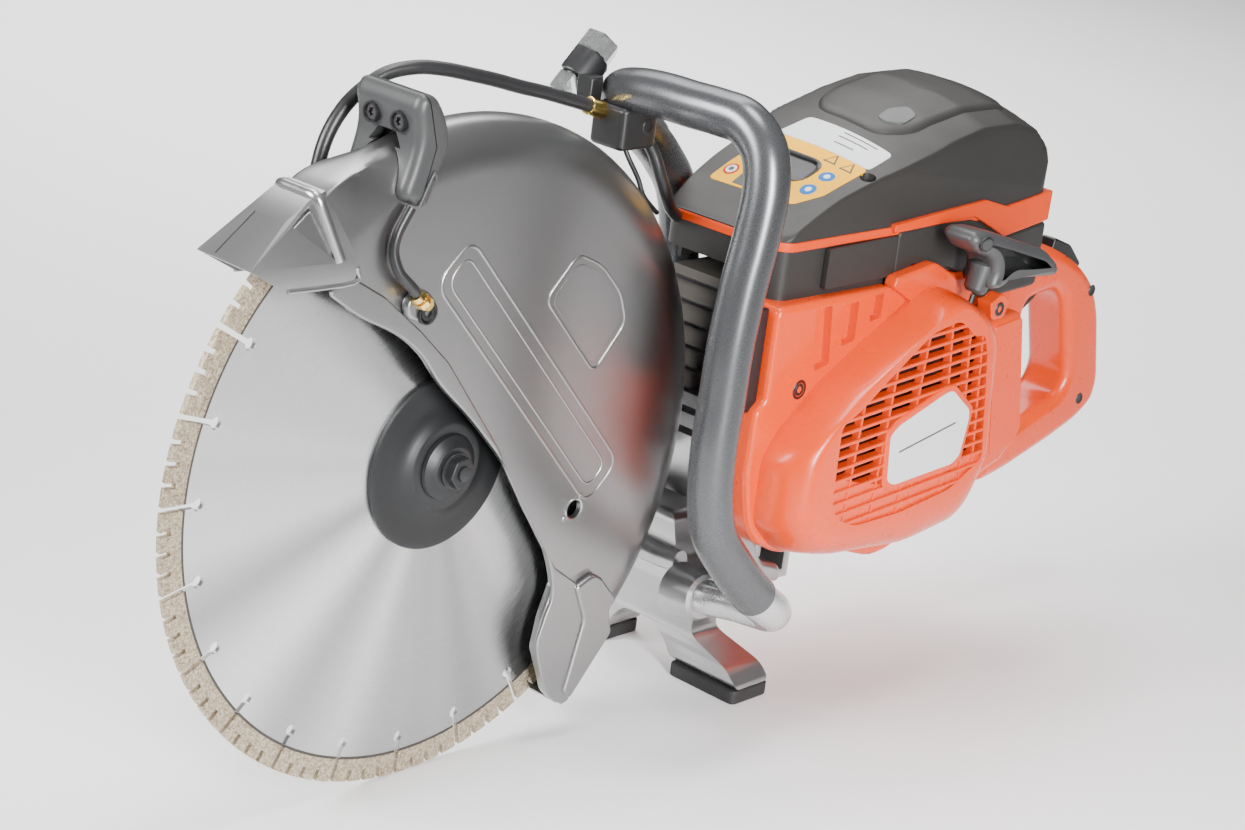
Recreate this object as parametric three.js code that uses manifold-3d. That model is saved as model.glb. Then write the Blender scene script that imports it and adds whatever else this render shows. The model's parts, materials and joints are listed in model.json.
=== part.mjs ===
// Petrol power cutter with a 400 mm blade, seen as an assembly that comes apart on a bench.
// Millimetres, +X to the rear, -Y to the operator's left, +Z up.
// Every sub-part is drawn around the blade's centre; the last group moves the
// origin to the ground under the middle of the machine.
import * as THREE from 'three';
import { mergeVertices } from 'three/addons/utils/BufferGeometryUtils.js';
import Module from 'manifold-3d';

const wasm = await Module();
wasm.setup();

// ---- driving dimensions ----
const GAP = 0.3;                  // clearance between touching pieces
const BLADE_R = 200;
const BLADE_T = 3.2;
const SEGMENTS = 24;              // diamond segments round the rim
const GULLET_DEPTH = 19;
const GULLET_W = 3;
const KEYHOLE_R = 4;
const SPINDLE_R = 12.4;
const FLANGE_R = 53.5;
const GROUND = -200.3;            // height of the ground below the blade's centre
const MIDDLE_X = 212.57;          // from the blade's centre to the machine's middle
const MIDDLE_Y = 1.92;

const GUARD_R = 207;              // outside of the guard's crown
const GUARD_HALF = 20;            // half of the guard's width
const GUARD_WALL = 3;
const SHOULDER = 29;              // how far in from the crown the flat faces end
const NOSE_HALF = 15;             // half of the nose's width along its top
const SKIRT_HALF = 22;            // half of the nose's width along its lower edge
const GRIP_HALF = 27;             // half of the width of the guard's grip block
const HUB_R = 34;                 // arm boss that the guard turns on
const HUB_DISC_R = 52;            // thick disc of the guard round that boss
const INSPECTION_R = 6;           // hole through the guard's left face

const ARM_LEFT = 44;
const ARM_RIGHT = 56;
const ARM_HEAD_R = 46;            // round end of the arm at the crankshaft
const PULLEY_LEFT = 62;
const PULLEY_RIGHT = 80;
const DRIVEN_R = 46;
const DRIVE_R = 24;
const BELT_T = 4;
const BELT_COVER_R = [58, 52];    // at the blade's end and at the crankshaft's end
const BELT_COVER_WALL = 2.5;
const BELT_COVER_RIGHT = 108;

const CRANK_X = 325;
const CRANK_Z = -12;
const CRANK_R = 8;
const THROW = 19;                 // half of the 38 mm stroke
const ROD_LENGTH = 64;
const BORE_R = 28;
const CASE_LEFT = -40;
const CASE_RIGHT = ARM_LEFT - GAP;

const BODY_LEFT = -75;
const BULGE_LEFT = -112;
const BODY_RIGHT = 55;
const BODY_FRONT = 207;
const BODY_REAR = 484;
const SEAM_Z = 125;               // where the top cover meets its trim
const TRIM_H = 6;

const TUBE_R = 14;
const TUBE_LEFT = -100;
const TUBE_TOP = 209;
const HOSE_R = 4.2;
const THIN_HOSE_R = 3.2;

const PAD_X0 = 246;
const PAD_X1 = 284;
const PAD_H = 10;
const HANDLE_Y = -35;             // middle plane of the rear handle

// ---- materials ----
const finish = (color, roughness, metalness) => (
  new THREE.MeshStandardMaterial({ color, roughness, metalness })
);
const STEEL = finish(0xb9bcbe, 0.3, 1);
const DARK_STEEL = finish(0x2b2c2e, 0.5, 0.8);
const CASTING = finish(0x8e9296, 0.45, 0.8);
const ALUMINIUM = finish(0xc5c8ca, 0.35, 0.9);
const GREY = finish(0x55555a, 0.6, 0);
const BLACK = finish(0x161617, 0.6, 0);
const ORANGE = finish(0xe8501e, 0.3, 0);
const TUBE_GREY = finish(0x4c4f52, 0.4, 0.3);
const RUBBER = finish(0x1a1a1a, 0.85, 0);
const BRASS = finish(0xc9a24a, 0.3, 1);
const ZINC = finish(0xa9adac, 0.35, 0.9);
const WHITE = finish(0xe4e6ea, 0.4, 0);

// ---- shape helpers ----
function solid(geometry) {
  const bare = geometry.clone();
  bare.deleteAttribute('normal');
  bare.deleteAttribute('uv');
  const merged = mergeVertices(bare, 1e-3);
  const points = new Float32Array(merged.attributes.position.array);
  const corners = new Uint32Array(merged.index.array);
  const at = (i) => new THREE.Vector3().fromArray(points, 3 * corners[i]);
  let volume = 0;
  for (let i = 0; i < corners.length; i += 3) {
    volume += at(i).dot(at(i + 1).cross(at(i + 2)));
  }
  if (volume < 0) {
    for (let i = 0; i < corners.length; i += 3) {
      [corners[i], corners[i + 1]] = [corners[i + 1], corners[i]];
    }
  }
  const mesh = new wasm.Mesh({ numProp: 3, vertProperties: points, triVerts: corners });
  mesh.merge();
  return new wasm.Manifold(mesh);
}

const hull = (...points) => wasm.Manifold.hull(points);
const join = (...pieces) => pieces.reduce((sum, piece) => sum.add(piece));
const cut = (body, ...tools) => tools.reduce((rest, tool) => rest.subtract(tool), body);

const outline = (points) => new THREE.Shape(points.map(([a, b]) => new THREE.Vector2(a, b)));

function extruded(points, length, round, segments) {
  return new THREE.ExtrudeGeometry(outline(points), {
    depth: length - 2 * round,
    bevelEnabled: round > 0,
    bevelThickness: round,
    bevelSize: round,
    bevelOffset: -round,
    bevelSegments: segments,
    curveSegments: 6,
  }).translate(0, 0, round);
}

// (x, z) outline standing between two y planes
function plate(points, left, right, round = 0, segments = 1) {
  const geometry = extruded(points, right - left, round, segments);
  return solid(geometry.rotateX(Math.PI / 2).translate(0, right, 0));
}

// (y, z) outline between two x planes
function slice(points, front, rear, round = 0) {
  const geometry = extruded(points, rear - front, round, 1);
  const turn = new THREE.Matrix4().makeBasis(
    new THREE.Vector3(0, 1, 0), new THREE.Vector3(0, 0, 1), new THREE.Vector3(1, 0, 0));
  return solid(geometry.applyMatrix4(turn).translate(front, 0, 0));
}

// (x, y) outline between two heights
function slab(points, low, high, round = 0) {
  return solid(extruded(points, high - low, round, 1).translate(0, 0, low));
}

function block(x0, x1, y0, y1, z0, z1) {
  const geometry = new THREE.BoxGeometry(x1 - x0, y1 - y0, z1 - z0);
  return solid(geometry.translate((x0 + x1) / 2, (y0 + y1) / 2, (z0 + z1) / 2));
}

// round bar between two points, which may taper
function bar(from, to, r, sides = 20, endR = r) {
  const a = new THREE.Vector3(...from);
  const b = new THREE.Vector3(...to);
  const along = b.clone().sub(a);
  const geometry = new THREE.CylinderGeometry(endR, r, along.length(), sides);
  const turn = new THREE.Quaternion().setFromUnitVectors(
    new THREE.Vector3(0, 1, 0), along.clone().normalize(),
  );
  geometry.applyQuaternion(turn);
  const middle = a.add(b).multiplyScalar(0.5);
  return solid(geometry.translate(middle.x, middle.y, middle.z));
}

const rodY = (x, z, r, left, right, sides = 24) => bar([x, left, z], [x, right, z], r, sides);
const hexY = (x, z, flat, left, right) => bar([x, left, z], [x, right, z], flat / Math.sqrt(3), 6);

// ring round the Y axis through (x, z), from [radius, y] points that close on themselves
function turned(profile, x, z, sides = 28) {
  const closed = [...profile, profile[0]].map(([r, y]) => new THREE.Vector2(r, y));
  return solid(new THREE.LatheGeometry(closed, sides).translate(x, 0, z));
}

function tube(points, r, sides, steps) {
  const circle = new THREE.Shape();
  for (let i = 0; i < sides; i += 1) {
    const a = (2 * Math.PI * i) / sides;
    circle[i === 0 ? 'moveTo' : 'lineTo'](r * Math.cos(a), r * Math.sin(a));
  }
  const path = new THREE.CatmullRomCurve3(
    points.map((p) => new THREE.Vector3(...p)), false, 'centripetal',
  );
  return solid(new THREE.ExtrudeGeometry(circle, { steps, extrudePath: path, bevelEnabled: false }));
}

// points of an arc in degrees, counter-clockwise when the end is the larger angle
function arc(x, z, r, start, end, count) {
  return Array.from({ length: count + 1 }, (_, i) => {
    const a = THREE.MathUtils.degToRad(start + ((end - start) * i) / count);
    return [x + r * Math.cos(a), z + r * Math.sin(a)];
  });
}

// outline that wraps two circles, like a belt round two pulleys
function wrap(x0, z0, r0, x1, z1, r1, count = 14) {
  const distance = Math.hypot(x1 - x0, z1 - z0);
  const lean = THREE.MathUtils.radToDeg(Math.atan2(z1 - z0, x1 - x0));
  const open = THREE.MathUtils.radToDeg(Math.acos((r0 - r1) / distance));
  return [
    ...arc(x0, z0, r0, lean + open, lean + 360 - open, count),
    ...arc(x1, z1, r1, lean - open, lean + open, count),
  ];
}

function node(name, shape, material) {
  const { vertProperties, triVerts, numProp } = shape.getMesh();
  const positions = new Float32Array(triVerts.length * 3);
  triVerts.forEach((v, i) => {
    positions.set(vertProperties.subarray(v * numProp, v * numProp + 3), 3 * i);
  });
  const geometry = new THREE.BufferGeometry();
  geometry.setAttribute('position', new THREE.BufferAttribute(positions, 3));
  geometry.computeVertexNormals();
  const mesh = new THREE.Mesh(geometry, material);
  mesh.name = name;
  return mesh;
}

// ---- blade and spindle ----
function blade() {
  const step = 360 / SEGMENTS;
  const slot = THREE.MathUtils.radToDeg(GULLET_W / BLADE_R);
  const points = [];
  for (let i = 0; i < SEGMENTS; i += 1) {
    const start = i * step - 2.5;
    points.push(...arc(0, 0, BLADE_R, start + slot / 2, start + step - slot / 2, 3));
    const end = start + step;
    const inner = BLADE_R - GULLET_DEPTH;
    const a = THREE.MathUtils.degToRad(end);
    const centre = [(inner - KEYHOLE_R) * Math.cos(a), (inner - KEYHOLE_R) * Math.sin(a)];
    points.push(...arc(centre[0], centre[1], KEYHOLE_R, end - 22, end - 338, 4));
  }
  const disc = plate(points, -BLADE_T / 2, BLADE_T / 2);
  return cut(disc, rodY(0, 0, SPINDLE_R + GAP, -BLADE_T, BLADE_T));
}

function outerFlange() {
  const face = -BLADE_T / 2 - GAP;
  const bore = SPINDLE_R + GAP;
  return turned(
    [[bore, face], [bore, -10], [24, -10], [30, -5.5], [46, -5], [FLANGE_R, -4], [FLANGE_R, face]], 0,
    0,
  );
}

function innerFlange() {
  const face = BLADE_T / 2 + GAP;
  const bore = SPINDLE_R + GAP;
  return turned([[bore, face], [FLANGE_R, face], [FLANGE_R, 5], [30, 6], [24, 10], [bore, 10]], 0, 0);
}

function arborWasher() {
  return turned([[5.6, -10.3], [20, -10.3], [19, -13], [13.5, -16.5], [5.6, -16.5]], 0, 0, 32);
}

function arborBolt() {
  const head = join(hexY(0, 0, 17, -25, -16.8), rodY(0, 0, 11, -19, -16.8, 24));
  return join(head, rodY(0, 0, 5, -17, 18, 16));
}

function bladeSpindle() {
  const shaft = rodY(0, 0, SPINDLE_R, -9.7, PULLEY_RIGHT + 12, 32);
  return cut(shaft, rodY(0, 0, 5.3, -11, 20, 16));
}

function bearing(left, right) {
  return turned([[SPINDLE_R + GAP, left], [SPINDLE_R + GAP, right], [22, right], [22, left]], 0, 0, 32);
}

function grooved(bore, r, x, z) {
  const profile = [[bore, PULLEY_LEFT], [r + 2, PULLEY_LEFT], [r + 2, PULLEY_LEFT + 1.5]];
  for (let y = PULLEY_LEFT + 2; y < PULLEY_RIGHT - 5; y += 5) {
    profile.push([r, y], [r - 2, y + 2.5]);
  }
  profile.push(
    [r, PULLEY_RIGHT - 2], [r + 2, PULLEY_RIGHT - 1.5], [r + 2, PULLEY_RIGHT], [bore, PULLEY_RIGHT],
  );
  return turned(profile, x, z, 24);
}

const drivenPulley = () => grooved(SPINDLE_R + GAP, DRIVEN_R, 0, 0);

function pulleyNut() {
  return cut(hexY(0, 0, 36, PULLEY_RIGHT + GAP, PULLEY_RIGHT + 9), rodY(0, 0, SPINDLE_R + GAP, 70, 99));
}

// ---- arm and belt ----
function cuttingArm() {
  const web = plate(wrap(0, 0, HUB_R, CRANK_X, CRANK_Z, ARM_HEAD_R), ARM_LEFT, ARM_RIGHT);
  const boss = rodY(0, 0, HUB_R - GAP, 12, ARM_RIGHT + 3, 40);
  const lightening = plate(wrap(80, -3, 18, 230, -8, 24, 8), ARM_LEFT - 1, ARM_RIGHT - 4);
  return cut(
    join(web, boss), rodY(0, 0, 22.3, 14, 99), rodY(0, 0, 15, 0, 99),
    rodY(CRANK_X, CRANK_Z, 12, 30, 99), lightening,
  );
}

function driveBelt() {
  const inner = 0.4;
  const y0 = PULLEY_LEFT + 2;
  const y1 = PULLEY_RIGHT - 2;
  const outside = wrap(0, 0, DRIVEN_R + inner + BELT_T, CRANK_X, CRANK_Z, DRIVE_R + inner + BELT_T);
  const inside = wrap(0, 0, DRIVEN_R + inner, CRANK_X, CRANK_Z, DRIVE_R + inner);
  return cut(plate(outside, y0, y1), plate(inside, y0 - 1, y1 + 1));
}

function beltGuard() {
  const [r0, r1] = BELT_COVER_R;
  const left = ARM_RIGHT + 3 + GAP;
  const outer = plate(wrap(0, 0, r0, CRANK_X, CRANK_Z, r1), left, BELT_COVER_RIGHT, 5);
  const room = wrap(0, 0, r0 - BELT_COVER_WALL, CRANK_X, CRANK_Z, r1 - BELT_COVER_WALL);
  const inner = plate(room, left - 20, BELT_COVER_RIGHT - BELT_COVER_WALL, 4);
  const vents = [];
  for (let i = 0; i < 5; i += 1) {
    vents.push(block(282 + i * 16, 290 + i * 16, 100, 120, -38, 12));
  }
  return cut(outer, inner, ...vents);
}

// ---- guard ----
const FREE_EDGE = [
  [113, -177], [98, -165], [82, -131], [85, -114], [90, -95], [80, -63], [59, -29],
  [34, 1], [5, 31], [-22, 56], [-40, 77], [-60, 92], [-88, 106], [-111, 121],
];

// disc with broad rounded shoulders, the outer or inner form of the guard
function crown(grow) {
  const r = GUARD_R + grow;
  const half = GUARD_HALF + grow;
  const side = [
    [0, half], [r - SHOULDER, half], [r - 17, half - 1.6], [r - 8, half - 5.5], [r - 2.5, half - 11],
    [r, half - 18],
  ];
  const mirrored = side.map(([radius, y]) => [radius, -y]).reverse();
  return turned([...side, ...mirrored].reverse(), 0, 0, 72);
}

// [x, z] points at a half width, on both sides of the blade
const onBothSides = (points, half) => points.flatMap(([x, z]) => [[x, -half, z], [x, half, z]]);

function guardNose() {
  const top = [[-166, 146], [-142.5, 165], [-128, 174.5], [-118, 178]];
  const skirt = [[-94.5, 137], [-97, 127], [-143, 128], [-170, 143]];
  return hull(...onBothSides(top, NOSE_HALF), ...onBothSides(skirt, SKIRT_HALF));
}

function noseRoom() {
  const top = [[-163, 144], [-142, 160.5], [-128, 170], [-110, 175]];
  const skirt = [[-80, 140], [-80, 100], [-150, 110], [-178, 128]];
  return hull(
    ...onBothSides(top, NOSE_HALF - GUARD_WALL), ...onBothSides(skirt, SKIRT_HALF - GUARD_WALL),
  );
}

function bladeGuard() {
  const rim = [[126, -172], [136, -147], ...arc(0, 0, GUARD_R + 2, -40, 140, 28)];
  const shell = plate(
    [...rim, ...FREE_EDGE.slice().reverse()], -GUARD_HALF, GUARD_HALF,
  ).intersect(crown(0));
  const tailEdge = [
    [126, -172], [113, -178], [98, -166], [84, -133], [87, -114], [100, -96], [122, -104],
    [148, -122],
  ];
  const tail = plate(tailEdge, -GUARD_HALF - 3, GUARD_HALF, 2);
  const inside = GUARD_HALF - GUARD_WALL;
  const tailRoom = plate([[60, -60], [72, -150], [97, -186], [133, -163], [150, -60]], -inside, inside);
  const walls = cut(join(shell, tail, guardNose()), crown(-GUARD_WALL), noseRoom(), tailRoom);
  const hubDisc = rodY(0, 0, HUB_DISC_R, inside, GUARD_HALF, 40);
  const hole = rodY(103, -44, INSPECTION_R, -30, 0, 20);
  return cut(join(walls, hubDisc), rodY(0, 0, HUB_R, 0, 60, 40), hole);
}

function gripBlock() {
  const profile = [
    [-66, 221], [-62, 229], [-51, 227], [-42, 214], [-38, 199], [-51, 165], [-58, 165.5], [-72, 172],
    [-66, 187], [-62, 204],
  ];
  const outer = plate(profile, -GRIP_HALF, GRIP_HALF, 3);
  const bores = [-11, 11].map((y) => bar([-80, y, 211], [-57, y, 211], 5.5, 16));
  return cut(outer, crown(0.8), ...bores);
}

function nozzle(side) {
  const y0 = side * (GUARD_HALF + GAP);
  const y1 = side * (GUARD_HALF + 6);
  const left = Math.min(y0, y1);
  const right = Math.max(y0, y1);
  return plate([[-56, 106], [-54, 116], [-46, 116], [-34, 108], [-33, 99], [-40, 96]], left, right, 1);
}

function nozzleBarb(side) {
  const y = side * (GUARD_HALF + 10);
  const foot = bar([-49, side * (GUARD_HALF + 6 + GAP), 110], [-49, y + side * 4, 110], 4.5, 12);
  return join(foot, bar([-49, y, 110], [-57, y, 118], 3, 12));
}

function feedHoseLeft() {
  const y = -GUARD_HALF - 10;
  const close = -GUARD_HALF - 4.6;
  const route = [
    [-57.4, y, 118.4], [-62, y, 123], [-69, y + 3, 131], [-72.5, close, 142], [-71, close, 153],
    [-63, close, 166.5],
  ];
  return tube(route, THIN_HOSE_R, 8, 14);
}

// ---- water hose over the top ----
const HOSE_ROUTE = [
  [126.6, 20, 194], [114, 20, 198], [100, 20, 202], [80, 21, 207.5], [59, 22, 212.5], [40, 24, 217.5],
  [22, 26, 221.6], [5, 29, 225],
  [-12, 33, 226.5], [-30, 38, 223.5], [-45, 41, 215], [-57, 42, 205], [-67, 42, 191], [-73, 41, 175],
  [-76, 39, 157], [-75, 35, 140], [-68, 31, 129.4], [-57.5, 30, 118.5],
];
const waterHose = () => tube(HOSE_ROUTE, HOSE_R, 8, 34);

// ---- front handle ----
const TUBE_ROUTE = [
  [216, TUBE_LEFT + 2, -108], [202, TUBE_LEFT, -99], [187, TUBE_LEFT, -88], [162, TUBE_LEFT, -64],
  [142, TUBE_LEFT, -40],
  [133, TUBE_LEFT, -14], [130, TUBE_LEFT, 18], [131, TUBE_LEFT, 50], [132, TUBE_LEFT, 82],
  [136, TUBE_LEFT, 116],
  [142, TUBE_LEFT, 148], [147, -98, 175], [150, -90, 195], [150, -74, 207], [148, -56, TUBE_TOP],
  [146, -36, TUBE_TOP],
  [145, -14, TUBE_TOP], [145, 6, 207], [149, 22, 202], [163, 33, 192], [184, 41, 178], [206, 48, 163],
];

function frontHandle() {
  return tube(TUBE_ROUTE, TUBE_R, 12, 44);
}

function handleElbow() {
  const route = [
    [
      217.3, TUBE_LEFT + 2.2, -108.8,
    ], [224, TUBE_LEFT + 4, -113], [230, TUBE_LEFT + 18, -118], [234, TUBE_LEFT + 38, -122], [236, -40, -125],
  ];
  return tube(route, 13.2, 12, 10);
}

function handleStrut() {
  const route = [[207.4, 48.5, 162], [226, 53, 148], [250, 58, 124], [264, 61, 90], [270, 62, 47]];
  return tube(route, 13, 12, 14);
}

const WRENCH_LOW = new THREE.Vector3(120, 46, 196);
const WRENCH_HIGH = new THREE.Vector3(152, 46, 228);
const alongWrench = (t) => WRENCH_LOW.clone().lerp(WRENCH_HIGH, t).toArray();

function handleClamp() {
  const body = slab([[128, 0], [160, 0], [164, 8], [164, 28], [128, 28]], 174, 206, 3);
  const seat = tube(TUBE_ROUTE.slice(14), TUBE_R + 1, 16, 24);
  const link = block(122, 133, 25.5, 35, 196, 211);
  const holder = bar(alongWrench(0.4), alongWrench(0.6), 12, 20);
  const shank = bar(alongWrench(0.33), alongWrench(0.67), 8.3, 20);
  const mouth = wasm.Manifold.hull([shank, shank.translate(0, 24, 0)]);
  return cut(join(body, link, holder), seat, mouth);
}

// ---- wrench ----
function wrench() {
  const ends = join(
    bar(alongWrench(0), alongWrench(0.3), 10.5, 6), bar(alongWrench(0.7), alongWrench(1), 12, 6),
  );
  const body = join(ends, bar(alongWrench(0.25), alongWrench(0.75), 7.8, 20));
  return cut(
    body, bar(alongWrench(0.75), alongWrench(1.1), 8.5, 6),
    bar(alongWrench(-0.1), alongWrench(0.25), 7, 6),
  );
}

// ---- foot bracket and pads ----
function footBracket() {
  const front = PAD_X0 - 18;
  const top = -94;
  const foot = GROUND + PAD_H + GAP;
  const arch = [
    [-53, foot], [5, foot], [14, -166], [30, -150], [50, -142], [62, -160], [66, foot],
    [116, foot], [112, -176], [88, -158], [72, -124], [60, top], [-30, top], [-32, -126], [-36, -156],
    [-52, -176],
  ];
  const profile = [
    [front, top], [front + 6, -128], [PAD_X0 - 4, -172], [PAD_X0 - 1, foot],
    [PAD_X1 + 1, foot], [PAD_X1 - 2, -180], [262, -150], [262, top],
  ];
  const body = slice(arch, front, PAD_X1 + 2).intersect(plate(profile, -60, 120));
  return cut(body, bar([210, -17, -140], [236, -17, -140], 6.3, 16));
}

function footPad(y0, y1) {
  return slab([[PAD_X0, y0], [PAD_X1, y0], [PAD_X1, y1], [PAD_X0, y1]], GROUND, GROUND + PAD_H, 1.5);
}

// ---- crank train ----
function crankcase() {
  const body = join(
    block(262.3, 388, CASE_LEFT, CASE_RIGHT, -62, 44),
    block(262.3, 300, CASE_LEFT, CASE_RIGHT, -124, -60),
  );
  const chamber = rodY(CRANK_X, CRANK_Z, 37, -28, 28, 40);
  const throat = bar([CRANK_X, 0, 0], [CRANK_X, 0, 60], BORE_R + 1, 32);
  const journals = rodY(CRANK_X, CRANK_Z, CRANK_R + GAP, -99, 99, 24);
  const pocket = block(268, 294, CASE_LEFT - 1, CASE_RIGHT - 6, -118, -66);
  return cut(body, chamber, throat, journals, pocket);
}

function crankshaft() {
  const pin = CRANK_Z + THROW;
  const web = [...arc(CRANK_X, CRANK_Z, 34, 200, 340, 12), ...arc(CRANK_X, pin, 12, 0, 180, 8)];
  return join(
    rodY(CRANK_X, CRANK_Z, CRANK_R, -84, -8, 24),
    rodY(CRANK_X, CRANK_Z, CRANK_R, 8, 99, 24),
    plate(web, -18, -8),
    plate(web, 8, 18),
    rodY(CRANK_X, pin, 7, -10, 10, 20),
  );
}

function conrod() {
  const low = CRANK_Z + THROW;
  const high = low + ROD_LENGTH;
  const body = join(
    rodY(CRANK_X, low, 11, -6, 6, 24), rodY(CRANK_X, high, 5.8, -6, 6, 20),
    block(CRANK_X - 4, CRANK_X + 4, -3, 3, low, high),
  );
  return cut(body, rodY(CRANK_X, low, 7 + GAP, -9, 9, 20));
}

function piston() {
  const top = CRANK_Z + THROW + ROD_LENGTH + 16;
  const skirt = bar([CRANK_X, 0, top - 30], [CRANK_X, 0, top], BORE_R - GAP, 32);
  return cut(skirt, bar([CRANK_X, 0, top - 40], [CRANK_X, 0, top - 6], 25.4, 32));
}

function cylinder() {
  const low = 44 + GAP;
  const core = bar([CRANK_X, 0, low], [CRANK_X, 0, 112], 36, 32);
  const fins = [];
  for (let i = 0; i < 6; i += 1) {
    const z = low + 4 + i * 11.4;
    fins.push(block(CRANK_X - 52, CRANK_X + 52, -42, 30, z, z + 2));
  }
  const ports = block(CRANK_X - 56, CRANK_X + 56, -14, 14, 60, 84);
  const bore = bar([CRANK_X, 0, 40], [CRANK_X, 0, 104], BORE_R, 32);
  return cut(join(core, ports, ...fins), bore, bar([CRANK_X, 0, 100], [CRANK_X, 0, 120], 6.3, 16));
}

function sparkPlug() {
  const at = (z) => [CRANK_X, 0, z];
  return join(
    bar(at(104.5), at(112), 6, 16), bar(at(112 + GAP), at(122), 11, 6), bar(at(112), at(113), 6, 16),
    bar(at(120), at(140), 6, 16), bar(at(138), at(146), 4, 12),
  );
}

function flywheel() {
  const body = turned(
    [[CRANK_R + GAP, -62], [CRANK_R + GAP, -48], [48, -48], [54, -52], [54, -60], [30, -60], [22, -62]],
    CRANK_X, CRANK_Z, 28,
  );
  const fins = [];
  for (let i = 0; i < 8; i += 1) {
    const a = (i * Math.PI) / 4;
    const p = (r) => [CRANK_X + r * Math.cos(a), -63, CRANK_Z + r * Math.sin(a)];
    fins.push(bar([p(28)[0], -62, p(28)[2]], [p(50)[0], -62, p(50)[2]], 4, 4));
  }
  return join(body, ...fins);
}

function ignitionModule() {
  return block(300, 350, -60, -46, 44.5 + GAP, 70);
}

// ---- clutch ----
function clutchDrum() {
  const grooves = grooved(CRANK_R + 0.4, DRIVE_R, CRANK_X, CRANK_Z);
  const cup = turned(
    [[CRANK_R + 0.4, 79], [38, 79], [38, 98], [35.5, 98], [35.5, 82], [CRANK_R + 0.4, 82]], CRANK_X,
    CRANK_Z, 24,
  );
  return join(grooves, cup);
}

function clutchHub() {
  const shoes = turned(
    [[CRANK_R + GAP, 84], [34, 84], [34, 96], [CRANK_R + GAP, 96]], CRANK_X, CRANK_Z, 24,
  );
  const slots = [0, 1, 2].map((i) => {
    const a = (i * 2 * Math.PI) / 3;
    return bar(
      [CRANK_X + 15 * Math.cos(a), 90, CRANK_Z + 15 * Math.sin(a)],
      [CRANK_X + 40 * Math.cos(a), 90, CRANK_Z + 40 * Math.sin(a)], 9, 4,
    );
  });
  return cut(shoes, ...slots);
}

// ---- starter ----
function starterPulley() {
  const cx = CRANK_X;
  return turned(
    [
      [CRANK_R + GAP, -92], [24, -92], [24, -90.5], [20, -89.5], [20, -86.5], [24, -85.5],
      [24, -84.3], [CRANK_R + GAP, -84.3],
    ],
    cx, CRANK_Z, 24,
  );
}

function recoilSpring() {
  return turned([[13, -99], [13, -93], [22, -93], [22, -99]], CRANK_X, CRANK_Z, 20);
}

const HOUSING_EDGE = [
  [188, 88], [192, -22], [200, -54], [210, -68], [237, -81], [263, -84], [345, -93], [405, -89],
  [412, -80], [412, 60], [398, 88],
];
const BULGE_EDGE = [
  [322, 74], [338, 84], [358, 84], [392, 70], [411, 46], [411, -72], [398, -87], [345, -92],
  [263, -83], [222, -68], [208, -40], [212, 2], [249, 34], [284, 55],
];

function inset(points, amount) {
  const cx = points.reduce((s, p) => s + p[0], 0) / points.length;
  const cz = points.reduce((s, p) => s + p[1], 0) / points.length;
  return points.map(([x, z]) => {
    const d = Math.hypot(x - cx, z - cz);
    return [x + ((cx - x) * amount) / d, z + ((cz - z) * amount) / d];
  });
}

function starterHousing() {
  const base = plate(HOUSING_EDGE, BODY_LEFT - 4, -50, 3);
  const baseRoom = plate(inset(HOUSING_EDGE, 4), BODY_LEFT - 1, -40);
  const bulge = plate(BULGE_EDGE, BULGE_LEFT, BODY_LEFT, 9, 2);
  const bulgeRoom = plate(inset(BULGE_EDGE, 7), BULGE_LEFT + 3, BODY_LEFT + 2);
  const vents = [];
  for (let row = 0; row < 8; row += 1) {
    const z = 50 - row * 14;
    const start = 262 + Math.max(0, 3 - row) * 20;
    for (let column = 0; column < 3; column += 1) {
      const width = (396 - start) / 3;
      const x = start + column * width;
      vents.push(block(x, x + width - 4, BULGE_LEFT - 1, BULGE_LEFT + 5, z, z + 9));
    }
  }
  const slots = [0, 1, 2].map((i) => {
    const x = 243 + i * 25;
    return block(x, x + 13, BODY_LEFT - 5, BODY_LEFT + 1, 43 + i * 12, 83);
  });
  const spindle = rodY(CRANK_X, CRANK_Z, 8, BULGE_LEFT + 2, -93, 20);
  const open = cut(join(base, bulge), baseRoom, bulgeRoom, ...slots, ...vents);
  const label = plate(inset(LABEL_EDGE, -3), BULGE_LEFT, BULGE_LEFT + 4);
  const exit = bar([358.8, -98, 20], [378.6, -98, 88], 4, 12);
  return cut(join(open, label, spindle), exit);
}

const LABEL_EDGE = [[290, -2], [330, 28], [368, 6], [372, -34], [290, -46]];
const labelPlate = () => plate(LABEL_EDGE, BULGE_LEFT - 1.4, BULGE_LEFT - GAP);

function starterHandle() {
  const grip = plate(
    [
      [347, 121], [351, 126.5], [363, 126], [388, 119.5], [435, 104.5], [451, 93.5], [451, 85],
      [415, 88], [398, 90], [380, 98], [372, 107], [354, 114],
    ],
    -112, -84, 4,
  );
  return join(grip, bar([384, -98, 106], [376.3, -98, 80], 9, 16));
}

const starterRope = () => bar([376, -98, 78.9], [360.5, -98, 26], 1.8, 8);

// ---- covers ----
const footprint = (grow) => [
  [BODY_FRONT - grow, -60 - grow], [BODY_FRONT + 8, -69 - grow], [300, -72 - grow], [
    BODY_REAR - 10, BODY_LEFT - grow,
  ], [BODY_REAR + grow, -66 - grow],
  [BODY_REAR + grow, 46 + grow], [
    BODY_REAR - 10, BODY_RIGHT + grow,
  ], [345, 52 + grow], [300, 38 + grow], [232, 34 + grow], [BODY_FRONT - grow, 27 + grow],
];

function ringWall(low, high, grow, wall) {
  return cut(slab(footprint(grow), low, high), slab(footprint(grow - wall), low - 1, high + 1));
}

function cylinderCover() {
  const band = ringWall(88, SEAM_Z - TRIM_H - GAP, -1.5, 3);
  const frontCut = block(180, 232, -56, 60, 80, 100);
  const rearCut = block(420, 500, -90, 90, 80, 92);
  return cut(band, frontCut, rearCut, rodY(440, 102, 3.4, 40, 70, 16));
}

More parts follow.
